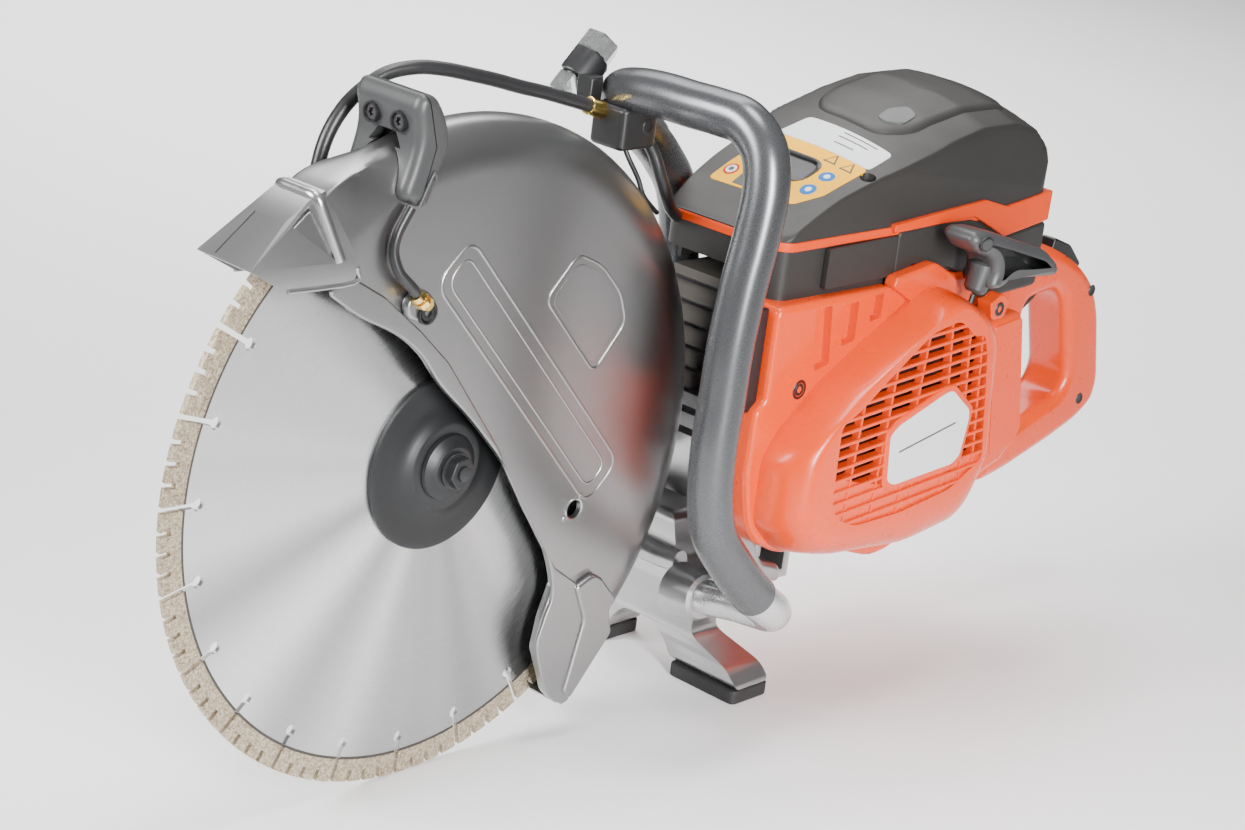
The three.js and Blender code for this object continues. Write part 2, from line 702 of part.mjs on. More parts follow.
const trimStripe = () => ringWall(SEAM_Z - TRIM_H, SEAM_Z - GAP, 0.5, 4);

function coverVolume(grow) {
  const side = [
    [BODY_FRONT - grow, SEAM_Z - 1], [BODY_FRONT - grow, 128], [256, 151 + grow],
    [295, 167 + grow], [330, 180 + grow], [366, 190 + grow], [400, 197 + grow],
    [436, 197 + grow], [458, 191 + grow], [467, 181 + grow], [BODY_REAR + grow, 138 + grow],
    [BODY_REAR + grow, SEAM_Z - 1],
  ];
  const front = [
    [-80, SEAM_Z - 1], [-76 - grow, 129], [-71 - grow, 176 + grow], [-60, 186 + grow],
    [-25, 197 + grow], [34, 197 + grow], [44 + grow, 178 + grow], [55 + grow, 132],
    [60, SEAM_Z - 1],
  ];
  const plan = slab(footprint(grow), SEAM_Z - 2, 240);
  return plate(side, -99, 99).intersect(slice(front, 150, 520)).intersect(plan);
}

function topCover() {
  const under = block(150, 520, -120, 120, 90, SEAM_Z);
  const dimple = bar([268, 2, 134], [268, 2, 200], 10, 20);
  const shell = cut(coverVolume(0), coverVolume(-3).translate(0, 0, -1), under);
  return cut(shell, dimple);
}

function decompressionValve() {
  return join(bar([268, 2, 142], [268, 2, 160], 7.5, 20), bar([268, 2, 132], [268, 2, 144], 4, 16));
}

function sideCover() {
  return plate([[294, 48], [330, 44], [372, 34], [392, 14], [410, 14], [410, 86], [294, 86]], 47, 58, 3);
}

// ---- exhaust and intake ----
function muffler() {
  return join(block(224, 262, -34, 28, 4, 84), block(260, 268.7, -12, 12, 62, 82));
}

function mufflerGuard() {
  const body = block(216, 222, -58, 34, -30, 84);
  const slots = [0, 1, 2, 3, 4, 5].map((i) => block(210, 230, -50, 28, -20 + i * 17, -10 + i * 17));
  return cut(body, ...slots);
}

function carburettor() {
  return cut(block(384, 424, -22, 22, 52, 92), bar([380, 0, 72], [440, 0, 72], 11, 20));
}

function airFilter() {
  return slab([[398, -52], [466, -52], [466, 40], [398, 40]], 108, 152, 4);
}

// ---- tank, rear handle and controls ----
function fuelTank() {
  const profile = [[414, -86], [480, -62], [492, -50], [474, 44], [414, 40]];
  const shell = plate(profile, BODY_LEFT, 48, 4);
  const inside = plate(inset(profile, 6), BODY_LEFT + 4, 44);
  return cut(
    shell, inside, rodY(446, -12, 15, 40, 49, 24),
    block(430, 470, -20, 20, 30, 60),
  );
}

const tankCap = () => join(
  rodY(446, -12, 14.4, 44.5, 52, 24),
  block(434, 458, 51, 55, -15, -9),
);

function rearHandle() {
  const outside = [
    [478, 86], [520, 82], [545, 73], [574, 61], [595, 44], [608, 22], [625, -32], [622, -50],
    [604, -62], [573, -72], [520, -86],
    [484, -90], [484, -61], [496, -50], [478, 46],
  ];
  const window = [
    [512, 42], [548, 46], [562, 34], [581, -24], [574, -38], [550, -44], [515, -56], [507, -50],
  ];
  const body = plate(outside, HANDLE_Y - 20, HANDLE_Y + 20, 6, 2);
  const triggerPocket = block(506, 549, HANDLE_Y - 7.5, HANDLE_Y + 7.5, 22, 60);
  const lockoutPocket = plate(
    [[546, 62], [546, 90], [600, 90], [600, 50], [590, 42]], HANDLE_Y - 7.5, HANDLE_Y + 7.5,
  );
  return cut(body, plate(window, -90, 20), triggerPocket, lockoutPocket);
}

function throttleTrigger() {
  return plate(
    [[511, 34], [514, 49], [544, 52], [546, 44], [541, 38], [528, 30], [518, 28]], HANDLE_Y - 6,
    HANDLE_Y + 6, 1.5, 1,
  );
}

function triggerLockout() {
  return plate(
    [[550, 68], [553, 80], [575, 72], [592, 56], [586, 51], [568, 60]], HANDLE_Y - 6, HANDLE_Y + 6, 1,
    1,
  );
}

function stopSwitch() {
  return block(500, 514, HANDLE_Y + 20 + GAP, HANDLE_Y + 26, 62, 74);
}

function chokeLever() {
  return join(rodY(440, 102, 3, 44, 60, 12), rodY(440, 102, 8, 54.2, 64, 16));
}

// ---- assembly ----
const group = new THREE.Group();
group.add(
  node('blade', blade(), STEEL),
  node('outer_flange', outerFlange(), DARK_STEEL),
  node('inner_flange', innerFlange(), DARK_STEEL),
  node('arbor_washer', arborWasher(), DARK_STEEL),
  node('arbor_bolt', arborBolt(), DARK_STEEL),
  node('blade_spindle', bladeSpindle(), STEEL),
  node('spindle_bearing_left', bearing(14.3, 26), STEEL),
  node('spindle_bearing_right', bearing(44, 56), STEEL),
  node('driven_pulley', drivenPulley(), ALUMINIUM),
  node('pulley_nut', pulleyNut(), ZINC),
  node('cutting_arm', cuttingArm(), CASTING),
  node('drive_belt', driveBelt(), RUBBER),
  node('belt_guard', beltGuard(), GREY),
  node('blade_guard', bladeGuard(), CASTING),
  node('guard_grip', gripBlock(), GREY),
  node('nozzle_left', nozzle(-1), BLACK),
  node('nozzle_right', join(nozzle(1).translate(0, 0.6, 0), nozzleBarb(1)), BLACK),
  node('nozzle_barb_left', nozzleBarb(-1), BRASS),
  node('feed_hose_left', feedHoseLeft(), RUBBER),
  node('water_hose', waterHose(), RUBBER),
  node('front_handle', frontHandle(), TUBE_GREY),
  node('handle_elbow', handleElbow(), ALUMINIUM),
  node('handle_strut', handleStrut(), BLACK),
  node('handle_clamp', handleClamp(), BLACK),
  node('wrench', wrench(), ZINC),
  node('foot_bracket', footBracket(), ALUMINIUM),
  node('foot_pad_left', footPad(-52, 3), RUBBER),
  node('foot_pad_right', footPad(66, 118), RUBBER),
  node('crankcase', crankcase(), CASTING),
  node('crankshaft', crankshaft(), STEEL),
  node('conrod', conrod(), STEEL),
  node('piston', piston(), ALUMINIUM),
  node('cylinder', cylinder(), CASTING),
  node('spark_plug', sparkPlug(), WHITE),
  node('flywheel', flywheel(), CASTING),
  node('ignition_module', ignitionModule(), BLACK),
  node('clutch_drum', clutchDrum(), DARK_STEEL),
  node('clutch_hub', clutchHub(), DARK_STEEL),
  node('starter_pulley', starterPulley(), BLACK),
  node('recoil_spring', recoilSpring(), STEEL),
  node('starter_housing', starterHousing(), ORANGE),
  node('label_plate', labelPlate(), WHITE),
  node('starter_handle', starterHandle(), GREY),
  node('cylinder_cover', cylinderCover(), GREY),
  node('side_cover', sideCover(), GREY),
  node('trim_stripe', trimStripe(), ORANGE),
  node('top_cover', topCover(), GREY),
  node('decompression_valve', decompressionValve(), BLACK),
  node('muffler', muffler(), DARK_STEEL),
  node('muffler_guard', mufflerGuard(), BLACK),
  node('carburettor', carburettor(), ALUMINIUM),
  node('air_filter', airFilter(), WHITE),
  node('fuel_tank', fuelTank(), ORANGE),
  node('tank_cap', tankCap(), BLACK),
  node('rear_handle', rearHandle(), ORANGE),
  node('throttle_trigger', throttleTrigger(), BLACK),
  node('trigger_lockout', triggerLockout(), BLACK),
  node('stop_switch', stopSwitch(), BLACK),
  node('choke_lever', chokeLever(), BLACK),
  node('starter_rope', starterRope(), RUBBER),
);
group.position.set(-MIDDLE_X, -MIDDLE_Y, -GROUND);
export default group;
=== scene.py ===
import json
import math

import bmesh
import bpy
from mathutils import Matrix, Vector


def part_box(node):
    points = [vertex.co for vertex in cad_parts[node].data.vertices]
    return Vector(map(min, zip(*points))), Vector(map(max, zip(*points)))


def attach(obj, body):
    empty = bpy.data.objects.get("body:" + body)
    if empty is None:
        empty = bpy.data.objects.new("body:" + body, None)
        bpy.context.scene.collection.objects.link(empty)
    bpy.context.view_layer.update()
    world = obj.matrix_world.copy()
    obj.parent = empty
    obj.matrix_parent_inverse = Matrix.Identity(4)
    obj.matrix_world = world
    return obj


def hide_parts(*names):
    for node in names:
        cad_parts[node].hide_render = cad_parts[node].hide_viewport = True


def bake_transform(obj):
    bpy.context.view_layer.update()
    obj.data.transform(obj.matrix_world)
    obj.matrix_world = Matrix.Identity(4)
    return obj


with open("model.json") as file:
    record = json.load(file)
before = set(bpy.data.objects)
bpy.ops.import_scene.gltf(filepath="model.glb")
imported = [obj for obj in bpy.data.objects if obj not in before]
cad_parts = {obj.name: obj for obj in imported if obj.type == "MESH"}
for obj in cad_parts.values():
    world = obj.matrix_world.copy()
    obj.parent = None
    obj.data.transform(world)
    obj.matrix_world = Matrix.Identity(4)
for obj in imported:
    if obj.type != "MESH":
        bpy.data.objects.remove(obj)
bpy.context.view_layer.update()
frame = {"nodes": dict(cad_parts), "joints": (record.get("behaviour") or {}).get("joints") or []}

# ---- frame: every piece is placed from the blade's axis, in millimetres ----
MM = 0.001
JOINTS = {joint["name"]: joint for joint in frame["joints"]}
AXIS = Vector(JOINTS["blade_spin"]["pos_m"])
CRANK = (Vector(JOINTS["crank_spin"]["pos_m"]) - AXIS) / MM
GROUND = -AXIS.z / MM
CHASSIS, BLADE, GUARD = "chassis", "blade_spindle_group", "guard"


def at(x, y, z):
    return AXIS + Vector((x, y, z)) * MM


def low(node):
    return (Vector(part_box(node)[0]) - AXIS) / MM


def high(node):
    return (Vector(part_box(node)[1]) - AXIS) / MM


BLADE_R = high("blade").z
GUARD_R = high("blade_guard").z
GUARD_HALF = high("blade_guard").y - 2
BODY_LEFT = low("top_cover").y
BODY_FRONT = low("top_cover").x
BODY_REAR = high("top_cover").x
SEAM_Z = low("top_cover").z
BULGE_LEFT = low("starter_housing").y
TUBE_LEFT = low("front_handle").y + 14
HANDLE_Y = (low("rear_handle").y + high("rear_handle").y) / 2

# ---- camera ----
CAMERA_AT = at(-1056.3, -1051.6, 556.8)
CAMERA_AZ, CAMERA_EL, CAMERA_ROLL = -49.16, 19.08, 7.36
LENS = 79.03


def make_camera():
    data = bpy.data.cameras.new("camera")
    data.lens = LENS
    data.sensor_width = 36
    data.clip_end = 20
    camera = bpy.data.objects.new("camera", data)
    bpy.context.scene.collection.objects.link(camera)
    az, el, roll = (math.radians(a) for a in (CAMERA_AZ, CAMERA_EL, CAMERA_ROLL))
    back = Vector((math.sin(az) * math.cos(el), -math.cos(az) * math.cos(el), math.sin(el)))
    right = (-back).cross(Vector((0, 0, 1))).normalized()
    up = back.cross(right)
    tilted = right * math.cos(roll) + up * math.sin(roll)
    turned = back.cross(tilted)
    matrix = Matrix((tilted, turned, back)).transposed().to_4x4()
    matrix.translation = CAMERA_AT
    camera.matrix_world = matrix
    bpy.context.scene.camera = camera


make_camera()


# ---- materials ----
class Nodes:
    """Small helper to wire one procedural material."""

    def __init__(self, name):
        self.material = bpy.data.materials.new(name)
        self.material.use_nodes = True
        self.tree = self.material.node_tree
        self.shader = self.tree.nodes["Principled BSDF"]
        self.coords = self.add("ShaderNodeTexCoord").outputs["Object"]

    def add(self, kind, **values):
        node = self.tree.nodes.new(kind)
        for key, value in values.items():
            if hasattr(node, key):
                setattr(node, key, value)
            else:
                node.inputs[key].default_value = value
        return node

    def link(self, source, node, socket):
        self.tree.links.new(source, node.inputs[socket])

    def noise(self, scale, detail=3.0, rough=0.5, vector=None, stretch=None):
        vector = vector or self.coords
        if stretch:
            mapping = self.add("ShaderNodeMapping")
            mapping.inputs["Scale"].default_value = stretch
            self.link(vector, mapping, "Vector")
            vector = mapping.outputs[0]
        node = self.add("ShaderNodeTexNoise")
        node.inputs["Scale"].default_value = scale
        node.inputs["Detail"].default_value = detail
        node.inputs["Roughness"].default_value = rough
        self.link(vector, node, "Vector")
        return node.outputs[0]

    def ramp(self, source, stops):
        node = self.add("ShaderNodeValToRGB")
        elements = node.color_ramp.elements
        for element, (place, color) in zip(elements, (stops[0], stops[-1])):
            element.position = place
            element.color = (*color, 1)
        for place, color in stops[1:-1]:
            element = elements.new(place)
            element.color = (*color, 1)
        self.link(source, node, "Fac")
        return node.outputs[0]

    def spread(self, source, lowest, highest, start=0.3, end=0.7):
        node = self.add("ShaderNodeMapRange")
        for key, value in (("From Min", start), ("From Max", end), ("To Min", lowest),
                ("To Max", highest)):
            node.inputs[key].default_value = value
        self.link(source, node, "Value")
        return node.outputs[0]

    def bump(self, height, strength, distance, normal=None):
        node = self.add("ShaderNodeBump")
        node.inputs["Strength"].default_value = strength
        node.inputs["Distance"].default_value = distance
        self.link(height, node, "Height")
        if normal is not None:
            self.link(normal, node, "Normal")
        return node.outputs[0]

    def wear(self):
        """1 on convex edges, 0 elsewhere, from the mesh's own pointiness."""
        geometry = self.add("ShaderNodeNewGeometry")
        return self.spread(geometry.outputs["Pointiness"], 0, 1, 0.52, 0.6)


def shade(color, k):
    return tuple(min(1, c * k) for c in color)


def plastic(name, color, rough, grain=900, grain_depth=0.00004, coat=0.0, mottle=0.12, gloss=0.5):
    m = Nodes(name)
    broad = m.noise(14, 4)
    tint = m.ramp(broad, [(0.3, shade(color, 1 - mottle)), (0.7, shade(color, 1 + mottle))])
    m.link(tint, m.shader, "Base Color")
    scuffs = m.noise(60, 6, 0.7)
    m.link(m.spread(scuffs, rough - 0.03, rough + 0.05), m.shader, "Roughness")
    fine = m.noise(grain, 2)
    m.link(m.bump(fine, 0.25, grain_depth), m.shader, "Normal")
    m.shader.inputs["Coat Weight"].default_value = coat
    m.shader.inputs["Specular IOR Level"].default_value = gloss
    m.shader.inputs["Coat Roughness"].default_value = 0.06
    return m.material


def metal(name, color, rough, grain=500, depth=0.00005, stretch=None, metallic=1.0, mottle=0.1,
        edge=1.25):
    m = Nodes(name)
    broad = m.noise(18, 5, 0.6)
    tint = m.ramp(broad, [(0.3, shade(color, 1 - mottle)), (0.7, shade(color, 1 + mottle))])
    mix = m.add("ShaderNodeMix", data_type="RGBA")
    m.link(m.wear(), mix, "Factor")
    m.link(tint, mix, 6)
    mix.inputs[7].default_value = (*shade(color, edge), 1)
    m.link(mix.outputs[2], m.shader, "Base Color")
    m.shader.inputs["Metallic"].default_value = metallic
    fine = m.noise(grain, 3, 0.6, stretch=stretch)
    m.link(m.spread(fine, rough - 0.02, rough + 0.03), m.shader, "Roughness")
    m.link(m.bump(fine, 0.15, depth), m.shader, "Normal")
    return m.material


def blade_steel():
    """Brushed steel; its light and dark fans are painted reflections, laid into the base colour by
    direction from the arbor.
    """
    m = Nodes("blade_steel")
    shift = m.add("ShaderNodeVectorMath", operation="SUBTRACT")
    m.link(m.coords, shift, 0)
    shift.inputs[1].default_value = AXIS
    parts = m.add("ShaderNodeSeparateXYZ")
    m.link(shift.outputs[0], parts, 0)
    flat = m.add("ShaderNodeCombineXYZ")
    m.link(parts.outputs[0], flat, 0)
    m.link(parts.outputs[2], flat, 2)
    radius = m.add("ShaderNodeVectorMath", operation="LENGTH")
    m.link(flat.outputs[0], radius, 0)
    rings = m.add("ShaderNodeTexNoise", noise_dimensions="1D")
    rings.inputs["Scale"].default_value = 2600
    rings.inputs["Detail"].default_value = 4
    m.link(radius.outputs["Value"], rings, "W")
    ring = rings.outputs[0]
    heading = m.add("ShaderNodeVectorMath", operation="NORMALIZE")
    m.link(flat.outputs[0], heading, 0)
    # Painted reflection: light and dark fans laid into the base colour by direction from the arbor.
    painted_reflection_fans = m.noise(2.2, 1, vector=heading.outputs[0])
    tint = m.ramp(painted_reflection_fans, [(0.32, (0.34, 0.345, 0.35)), (0.5, (0.52, 0.525, 0.53)),
        (0.68, (0.74, 0.74, 0.735))])
    m.link(tint, m.shader, "Base Color")
    m.shader.inputs["Metallic"].default_value = 1
    m.link(m.spread(ring, 0.26, 0.34), m.shader, "Roughness")
    m.link(m.bump(ring, 0.06, 0.00001), m.shader, "Normal")
    m.shader.inputs["Anisotropic"].default_value = 0.8
    m.link(flat.outputs[0], m.shader, "Tangent")
    return m.material


def segment_metal():
    m = Nodes("segment_metal")
    grit = m.noise(700, 4, 0.7)
    tint = m.ramp(grit, [(0.35, (0.2, 0.155, 0.1)), (0.5, (0.42, 0.34, 0.24)),
        (0.68, (0.66, 0.58, 0.46))])
    m.link(tint, m.shader, "Base Color")
    m.shader.inputs["Metallic"].default_value = 0.7
    m.link(m.spread(grit, 0.42, 0.62), m.shader, "Roughness")
    m.link(m.bump(grit, 0.8, 0.0002), m.shader, "Normal")
    return m.material


MAT = {
    "blade_steel": blade_steel(),
    "segment": segment_metal(),
    "weld": metal("weld_line", (0.05, 0.045, 0.04), 0.5, metallic=0.5),
    "black_steel": metal("black_steel", (0.018, 0.019, 0.02), 0.4, 700, metallic=0.5, edge=2.0),
    "steel_dark": metal("screw_steel", (0.16, 0.155, 0.16), 0.3, 700, metallic=0.9),
    "steel": metal("machined_steel", (0.5, 0.51, 0.52), 0.28, stretch=(1, 12, 1)),
    "guard": metal("guard_lacquer", (0.3, 0.3, 0.3), 0.3, 1100, 0.000006, metallic=0.95, mottle=0.02,
    edge=1.5),
    # Painted highlight: a lighter copy of the guard lacquer for the nose, which is one casting with the
    # guard.
    "guard_painted_highlight": metal("guard_lacquer_painted_highlight", (0.4, 0.4, 0.4), 0.3, 1100, 0.000006, metallic=0.95,
    mottle=0.02),
    "cast": metal("cast_aluminium", (0.38, 0.38, 0.385), 0.32, 900, 0.000003, metallic=0.95, mottle=0.04,
    edge=1.4),
    "bare": metal("bare_aluminium", (0.7, 0.7, 0.71), 0.28, 900, 0.000004, mottle=0.03),
    "tube": metal("tube_lacquer", (0.1, 0.103, 0.108), 0.27, 1500, 0.000002, metallic=0.7, mottle=0.02,
    edge=1.1),
    "grey": plastic("grey_nylon", (0.024, 0.0225, 0.021), 0.45, 1400, 0.00001, mottle=0.05, gloss=0.3),
    "grip_grey": plastic("grip_nylon", (0.045, 0.046, 0.047), 0.4, 1400, 0.00001, mottle=0.05),
    "black": plastic("black_nylon", (0.008, 0.008, 0.009), 0.4, 1200, 0.00001),
    "orange": plastic("orange_gloss", (0.68, 0.05, 0.0), 0.28, 500, 0.000004, coat=0.2, mottle=0.02,
    gloss=0.35),
    "orange_trim": plastic("orange_satin", (0.62, 0.045, 0.0), 0.4, 1200, 0.000004, mottle=0.02,
    gloss=0.25),
    "rubber": plastic("rubber", (0.013, 0.013, 0.013), 0.65, 800, 0.00008),
    "hose": plastic("hose_rubber", (0.018, 0.018, 0.019), 0.33, 1500),
    "brass": metal("brass", (0.75, 0.52, 0.16), 0.2, stretch=(1, 6, 1)),
    "zinc": metal("zinc_plate", (0.5, 0.52, 0.51), 0.26, 260, mottle=0.18),
    "white": plastic("label_white", (0.62, 0.63, 0.65), 0.4, 300, 0.000004, mottle=0.02),
    "yellow": plastic("label_yellow", (0.85, 0.42, 0.0), 0.45, 300, 0.000004, mottle=0.02, gloss=0.1),
    "blue": plastic("label_blue", (0.0, 0.13, 0.4), 0.45, 300, 0.000004, mottle=0.02, gloss=0.1),
    "red": plastic("label_red", (0.45, 0.01, 0.0), 0.45, 300, 0.000004, mottle=0.02, gloss=0.1),
    "paper": plastic("filter_paper", (0.6, 0.55, 0.42), 0.8, 400, 0.0002),
    "iron": metal("muffler_steel", (0.12, 0.11, 0.1), 0.5, metallic=0.8),
}


# ---- mesh helpers ----
def link(obj):
    bpy.context.scene.collection.objects.link(obj)
    return obj


def baked(obj):
    """The object's final mesh, after its modifiers, on a fresh mesh object."""
    depsgraph = bpy.context.evaluated_depsgraph_get()
    depsgraph.update()
    mesh = bpy.data.meshes.new_from_object(obj.evaluated_get(depsgraph))
    mesh.transform(obj.matrix_world)
    name = obj.name
    bpy.data.objects.remove(obj)
    fresh = bpy.data.objects.new(name, mesh)
    fresh.name = name
    return link(fresh)


def dressed(obj, body, material, nodes=(), angle=32):
    """Gives a piece its material, shading and body, and hides the CAD nodes it stands for.
    """
    obj.data.materials.clear()
    obj.data.materials.append(MAT[material])
    for polygon in obj.data.polygons:
        polygon.use_smooth = True
    obj.data.set_sharp_from_angle(angle=math.radians(angle))
    weights = obj.modifiers.new("face_weights", "WEIGHTED_NORMAL")
    weights.mode = "FACE_AREA"
    weights.weight = 100
    weights.keep_sharp = True
    obj = baked(obj)
    if body:
        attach(obj, body)
    for node in nodes:
        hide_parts(node)
    return obj


def cleaned(mesh):
    """Welds doubled points and turns every face outward."""
    work = bmesh.new()
    work.from_mesh(mesh)
    bmesh.ops.remove_doubles(work, verts=work.verts, dist=1e-6)
    bmesh.ops.recalc_face_normals(work, faces=work.faces)
    work.to_mesh(mesh)
    work.free()


def raw(name, points, faces):
    mesh = bpy.data.meshes.new(name)
    mesh.from_pydata([at(*p) for p in points], [], faces)
    cleaned(mesh)
    return link(bpy.data.objects.new(name, mesh))


def rect(x0, z0, x1, z1):
    return [(x0, z0), (x1, z0), (x1, z1), (x0, z1)]


def spin(degrees, axis):
    return Matrix.Rotation(math.radians(degrees), 4, axis)


def moved(obj, place, turn):
    """Turns a piece that was made round the blade's axis and sets it at a place."""
    obj.data.transform(Matrix.Translation(at(*place)) @ turn @ Matrix.Translation(-AXIS))


PLANES = {
    "y": Matrix(((1, 0, 0), (0, 0, 1), (0, 1, 0))),
    "x": Matrix(((0, 0, 1), (1, 0, 0), (0, 1, 0))),
    "z": Matrix.Identity(3),
}


def plate(name, outlines, start, end, bevel=0.0, steps=3, normal="y"):
    """Solid between two planes across one axis, with rounded edges; inner outlines are holes."""
    data = bpy.data.curves.new(name, "CURVE")
    data.dimensions = "2D"
    data.fill_mode = "BOTH"
    data.extrude = ((end - start) / 2 - bevel) * MM
    data.bevel_depth = bevel * MM
    data.bevel_resolution = steps
    data.offset = -bevel * MM
    if outlines and not hasattr(outlines[0][0], "__len__"):
        outlines = [outlines]
    for outline in outlines:
        spline = data.splines.new("POLY")
        spline.points.add(len(outline) - 1)
        for point, (a, b) in zip(spline.points, outline):
            point.co = (a * MM, b * MM, 0, 1)
        spline.use_cyclic_u = True
    obj = link(bpy.data.objects.new(name, data))
    middle = (start + end) / 2 * MM
    offset = {"y": (0, middle, 0), "x": (middle, 0, 0), "z": (0, 0, middle)}[normal]
    obj.matrix_world = Matrix.Translation(AXIS + Vector(offset)) @ PLANES[normal].to_4x4()
    solid = baked(obj)
    cleaned(solid.data)
    return solid


def arc(x, z, r, start, end, count):
    out = []
    for i in range(count + 1):
        a = math.radians(start + (end - start) * i / count)
        out.append((x + r * math.cos(a), z + r * math.sin(a)))
    return out


def ellipse(x, z, half_x, half_z, count=32):
    turns = [2 * math.pi * k / count for k in range(count)]
    return [(x + half_x * math.cos(a), z + half_z * math.sin(a)) for a in turns]


def fillet(points, radius, steps=4):
    """Closed outline with its corners rounded."""
    out = []
    count = len(points)
    for i, point in enumerate(points):
        p = Vector(point)
        a = Vector(points[i - 1]) - p
        b = Vector(points[(i + 1) % count]) - p
        reach = min(radius, a.length * 0.45, b.length * 0.45)
        start = p + a.normalized() * reach
        end = p + b.normalized() * reach
        for k in range(steps + 1):
            t = k / steps
            out.append(tuple(start * (1 - t) ** 2 + p * 2 * t * (1 - t) + end * t * t))
    return out


def smooth_path(points, steps=8):
    """Catmull-Rom curve through the points."""
    points = [Vector(p) for p in points]
    ends = [points[0] * 2 - points[1], *points, points[-1] * 2 - points[-2]]
    out = []
    for a, b, c, d in zip(ends, ends[1:], ends[2:], ends[3:]):
        for k in range(steps):
            t = k / steps
            square, cube = 2 * a - 5 * b + 4 * c - d, 3 * b - a - 3 * c + d
            out.append(0.5 * (2 * b + (c - a) * t + square * t * t + cube * t ** 3))
    out.append(points[-1])
    return out


def sweep(name, path, radius, sides=32):
    """Round closed tube along points; radius is a number or a function of the way along, 0 to 1."""
    get = radius if callable(radius) else (lambda t: radius)
    path = [Vector(p) for p in path]
    turns = [2 * math.pi * k / sides for k in range(sides)]
    rings = []
    side = None
    for i, p in enumerate(path):
        ahead = (path[min(i + 1, len(path) - 1)] - path[max(i - 1, 0)]).normalized()
        if side is None:
            side = ahead.orthogonal().normalized()
        side = (side - ahead * side.dot(ahead)).normalized()
        other = ahead.cross(side)
        r = get(i / (len(path) - 1))
        rings.append([p + side * r * math.cos(a) + other * r * math.sin(a) for a in turns])
    return loft(name, rings)


def rod(name, a, b, r, end_r=None, sides=32, bevel=0.0):
    """Straight bar with chamfered ends."""
    a, b = Vector(a), Vector(b)
    end_r = r if end_r is None else end_r
    along = (b - a).normalized()
    if bevel:
        path = [a, a + along * bevel, b - along * bevel, b]
        sizes = [r - bevel, r, end_r, end_r - bevel]
    else:
        path, sizes = [a, b], [r, end_r]
    return sweep(name, path, lambda t: sizes[round(t * (len(sizes) - 1))], sides)


def turned(name, profile, x=0, z=0, sides=96, closed=True):
    """Ring round the blade's direction from (radius, y) points."""
    points, faces = [], []
    n = len(profile)
    for k in range(sides):
        a = 2 * math.pi * k / sides
        points.extend((x + r * math.cos(a), y, z + r * math.sin(a)) for r, y in profile)
    for k in range(sides):
        j = (k + 1) % sides
        for i in range(n if closed else n - 1):
            m = (i + 1) % n
            faces.append((k * n + i, k * n + m, j * n + m, j * n + i))
    return raw(name, points, faces)


def loft(name, rings, caps=(True, True)):
    """Skin over rings that hold the same number of points."""
    n = len(rings[0])
    points = [p for ring in rings for p in ring]
    faces = []
    for i in range(len(rings) - 1):
        for k in range(n):
            j = (k + 1) % n
            faces.append((i * n + k, i * n + j, (i + 1) * n + j, (i + 1) * n + k))
    if caps[0]:
        faces.append(tuple(range(n))[::-1])
    if caps[1]:
        faces.append(tuple(range((len(rings) - 1) * n, len(rings) * n)))
    return raw(name, points, faces)


def loft_open(name, rows):
    """Open skin over rows that hold the same number of points."""
    n = len(rows[0])
    faces = []
    for i in range(len(rows) - 1):
        for k in range(n - 1):
            faces.append((i * n + k, i * n + k + 1, (i + 1) * n + k + 1, (i + 1) * n + k))
    return raw(name, [p for row in rows for p in row], faces)


def dense_path(points, step):
    """The same open line with a point at least every step."""
    out = []
    for a, b in zip(points, points[1:]):
        a, b = Vector(a), Vector(b)
        count = max(1, round((b - a).length / step))
        out += [a.lerp(b, k / count) for k in range(count)]
    return out + [Vector(points[-1])]


def combined(name, objs):
    """Joins meshes into one piece."""
    work = bmesh.new()
    for obj in objs:
        work.from_mesh(obj.data)
    mesh = bpy.data.meshes.new(name)
    work.to_mesh(mesh)
    work.free()
    for obj in objs:
        bpy.data.objects.remove(obj)
    return link(bpy.data.objects.new(name, mesh))


def carved(obj, tools, operation="DIFFERENCE", bevel=0.0, segments=2, limit=40):
    """Cuts tools out of a piece and rounds what is left."""
    for tool in tools:
        modifier = obj.modifiers.new("cut", "BOOLEAN")
        modifier.operation = operation
        modifier.solver = "EXACT"
        modifier.object = tool
    if bevel:
        modifier = obj.modifiers.new("bevel", "BEVEL")
        modifier.width = bevel * MM
        modifier.segments = segments
        modifier.limit_method = "ANGLE"
        modifier.angle_limit = math.radians(limit)
        modifier.harden_normals = False
    done = baked(obj)
    for tool in tools:
        bpy.data.objects.remove(tool)
    return done


def block(name, x0, x1, y0, y1, z0, z1, bevel=1.0):
    return plate(name, rect(x0, z0, x1, z1), y0, y1, bevel, 2)


def torx(name, place, direction, r, body, material="black_steel"):
    """Screw head with a dark six-lobed socket; direction points out of the head."""
    d = Vector(direction).normalized()
    p = Vector(place)
    side = d.orthogonal().normalized()
    other = d.cross(side)
    sides = 48

    def ring(radius, depth, lobe=0.0):
        out = []
        for k in range(sides):
            a = 2 * math.pi * k / sides
            q = radius * (1 + lobe * math.cos(6 * a))
            out.append(p + side * q * math.cos(a) + other * q * math.sin(a) + d * depth)
        return out

    rings = [ring(r * 0.86, -2.4), ring(r, -2.2), ring(r, -0.5), ring(r * 0.9, 0), ring(r * 0.58, 0),
        ring(r * 0.5, 0, 0.14), ring(r * 0.46, -1.8, 0.14)]
    head = loft(name, rings)
    return dressed(head, body, material)


def keep(node, material):
    """A CAD node that shows as it is, in a procedural material."""
    obj = frame["nodes"][node]
    obj.data.materials.clear()
    obj.data.materials.append(MAT[material])


# ---- blade ----
SEGMENTS, TEETH = 24, 4
WELD_R = 185.3
KEYHOLE_AT, KEYHOLE_R = 175.5, 3.6
CORE_HALF, SEGMENT_HALF, WELD_HALF = 1.5, 1.9, 1.62
SLOT_HALF, SEGMENT_GAP_HALF, NOTCH_HALF = 1.5, 1.7, 1.5
NOTCH_DEPTH = 6.8
FIRST_SLOT = 2.5


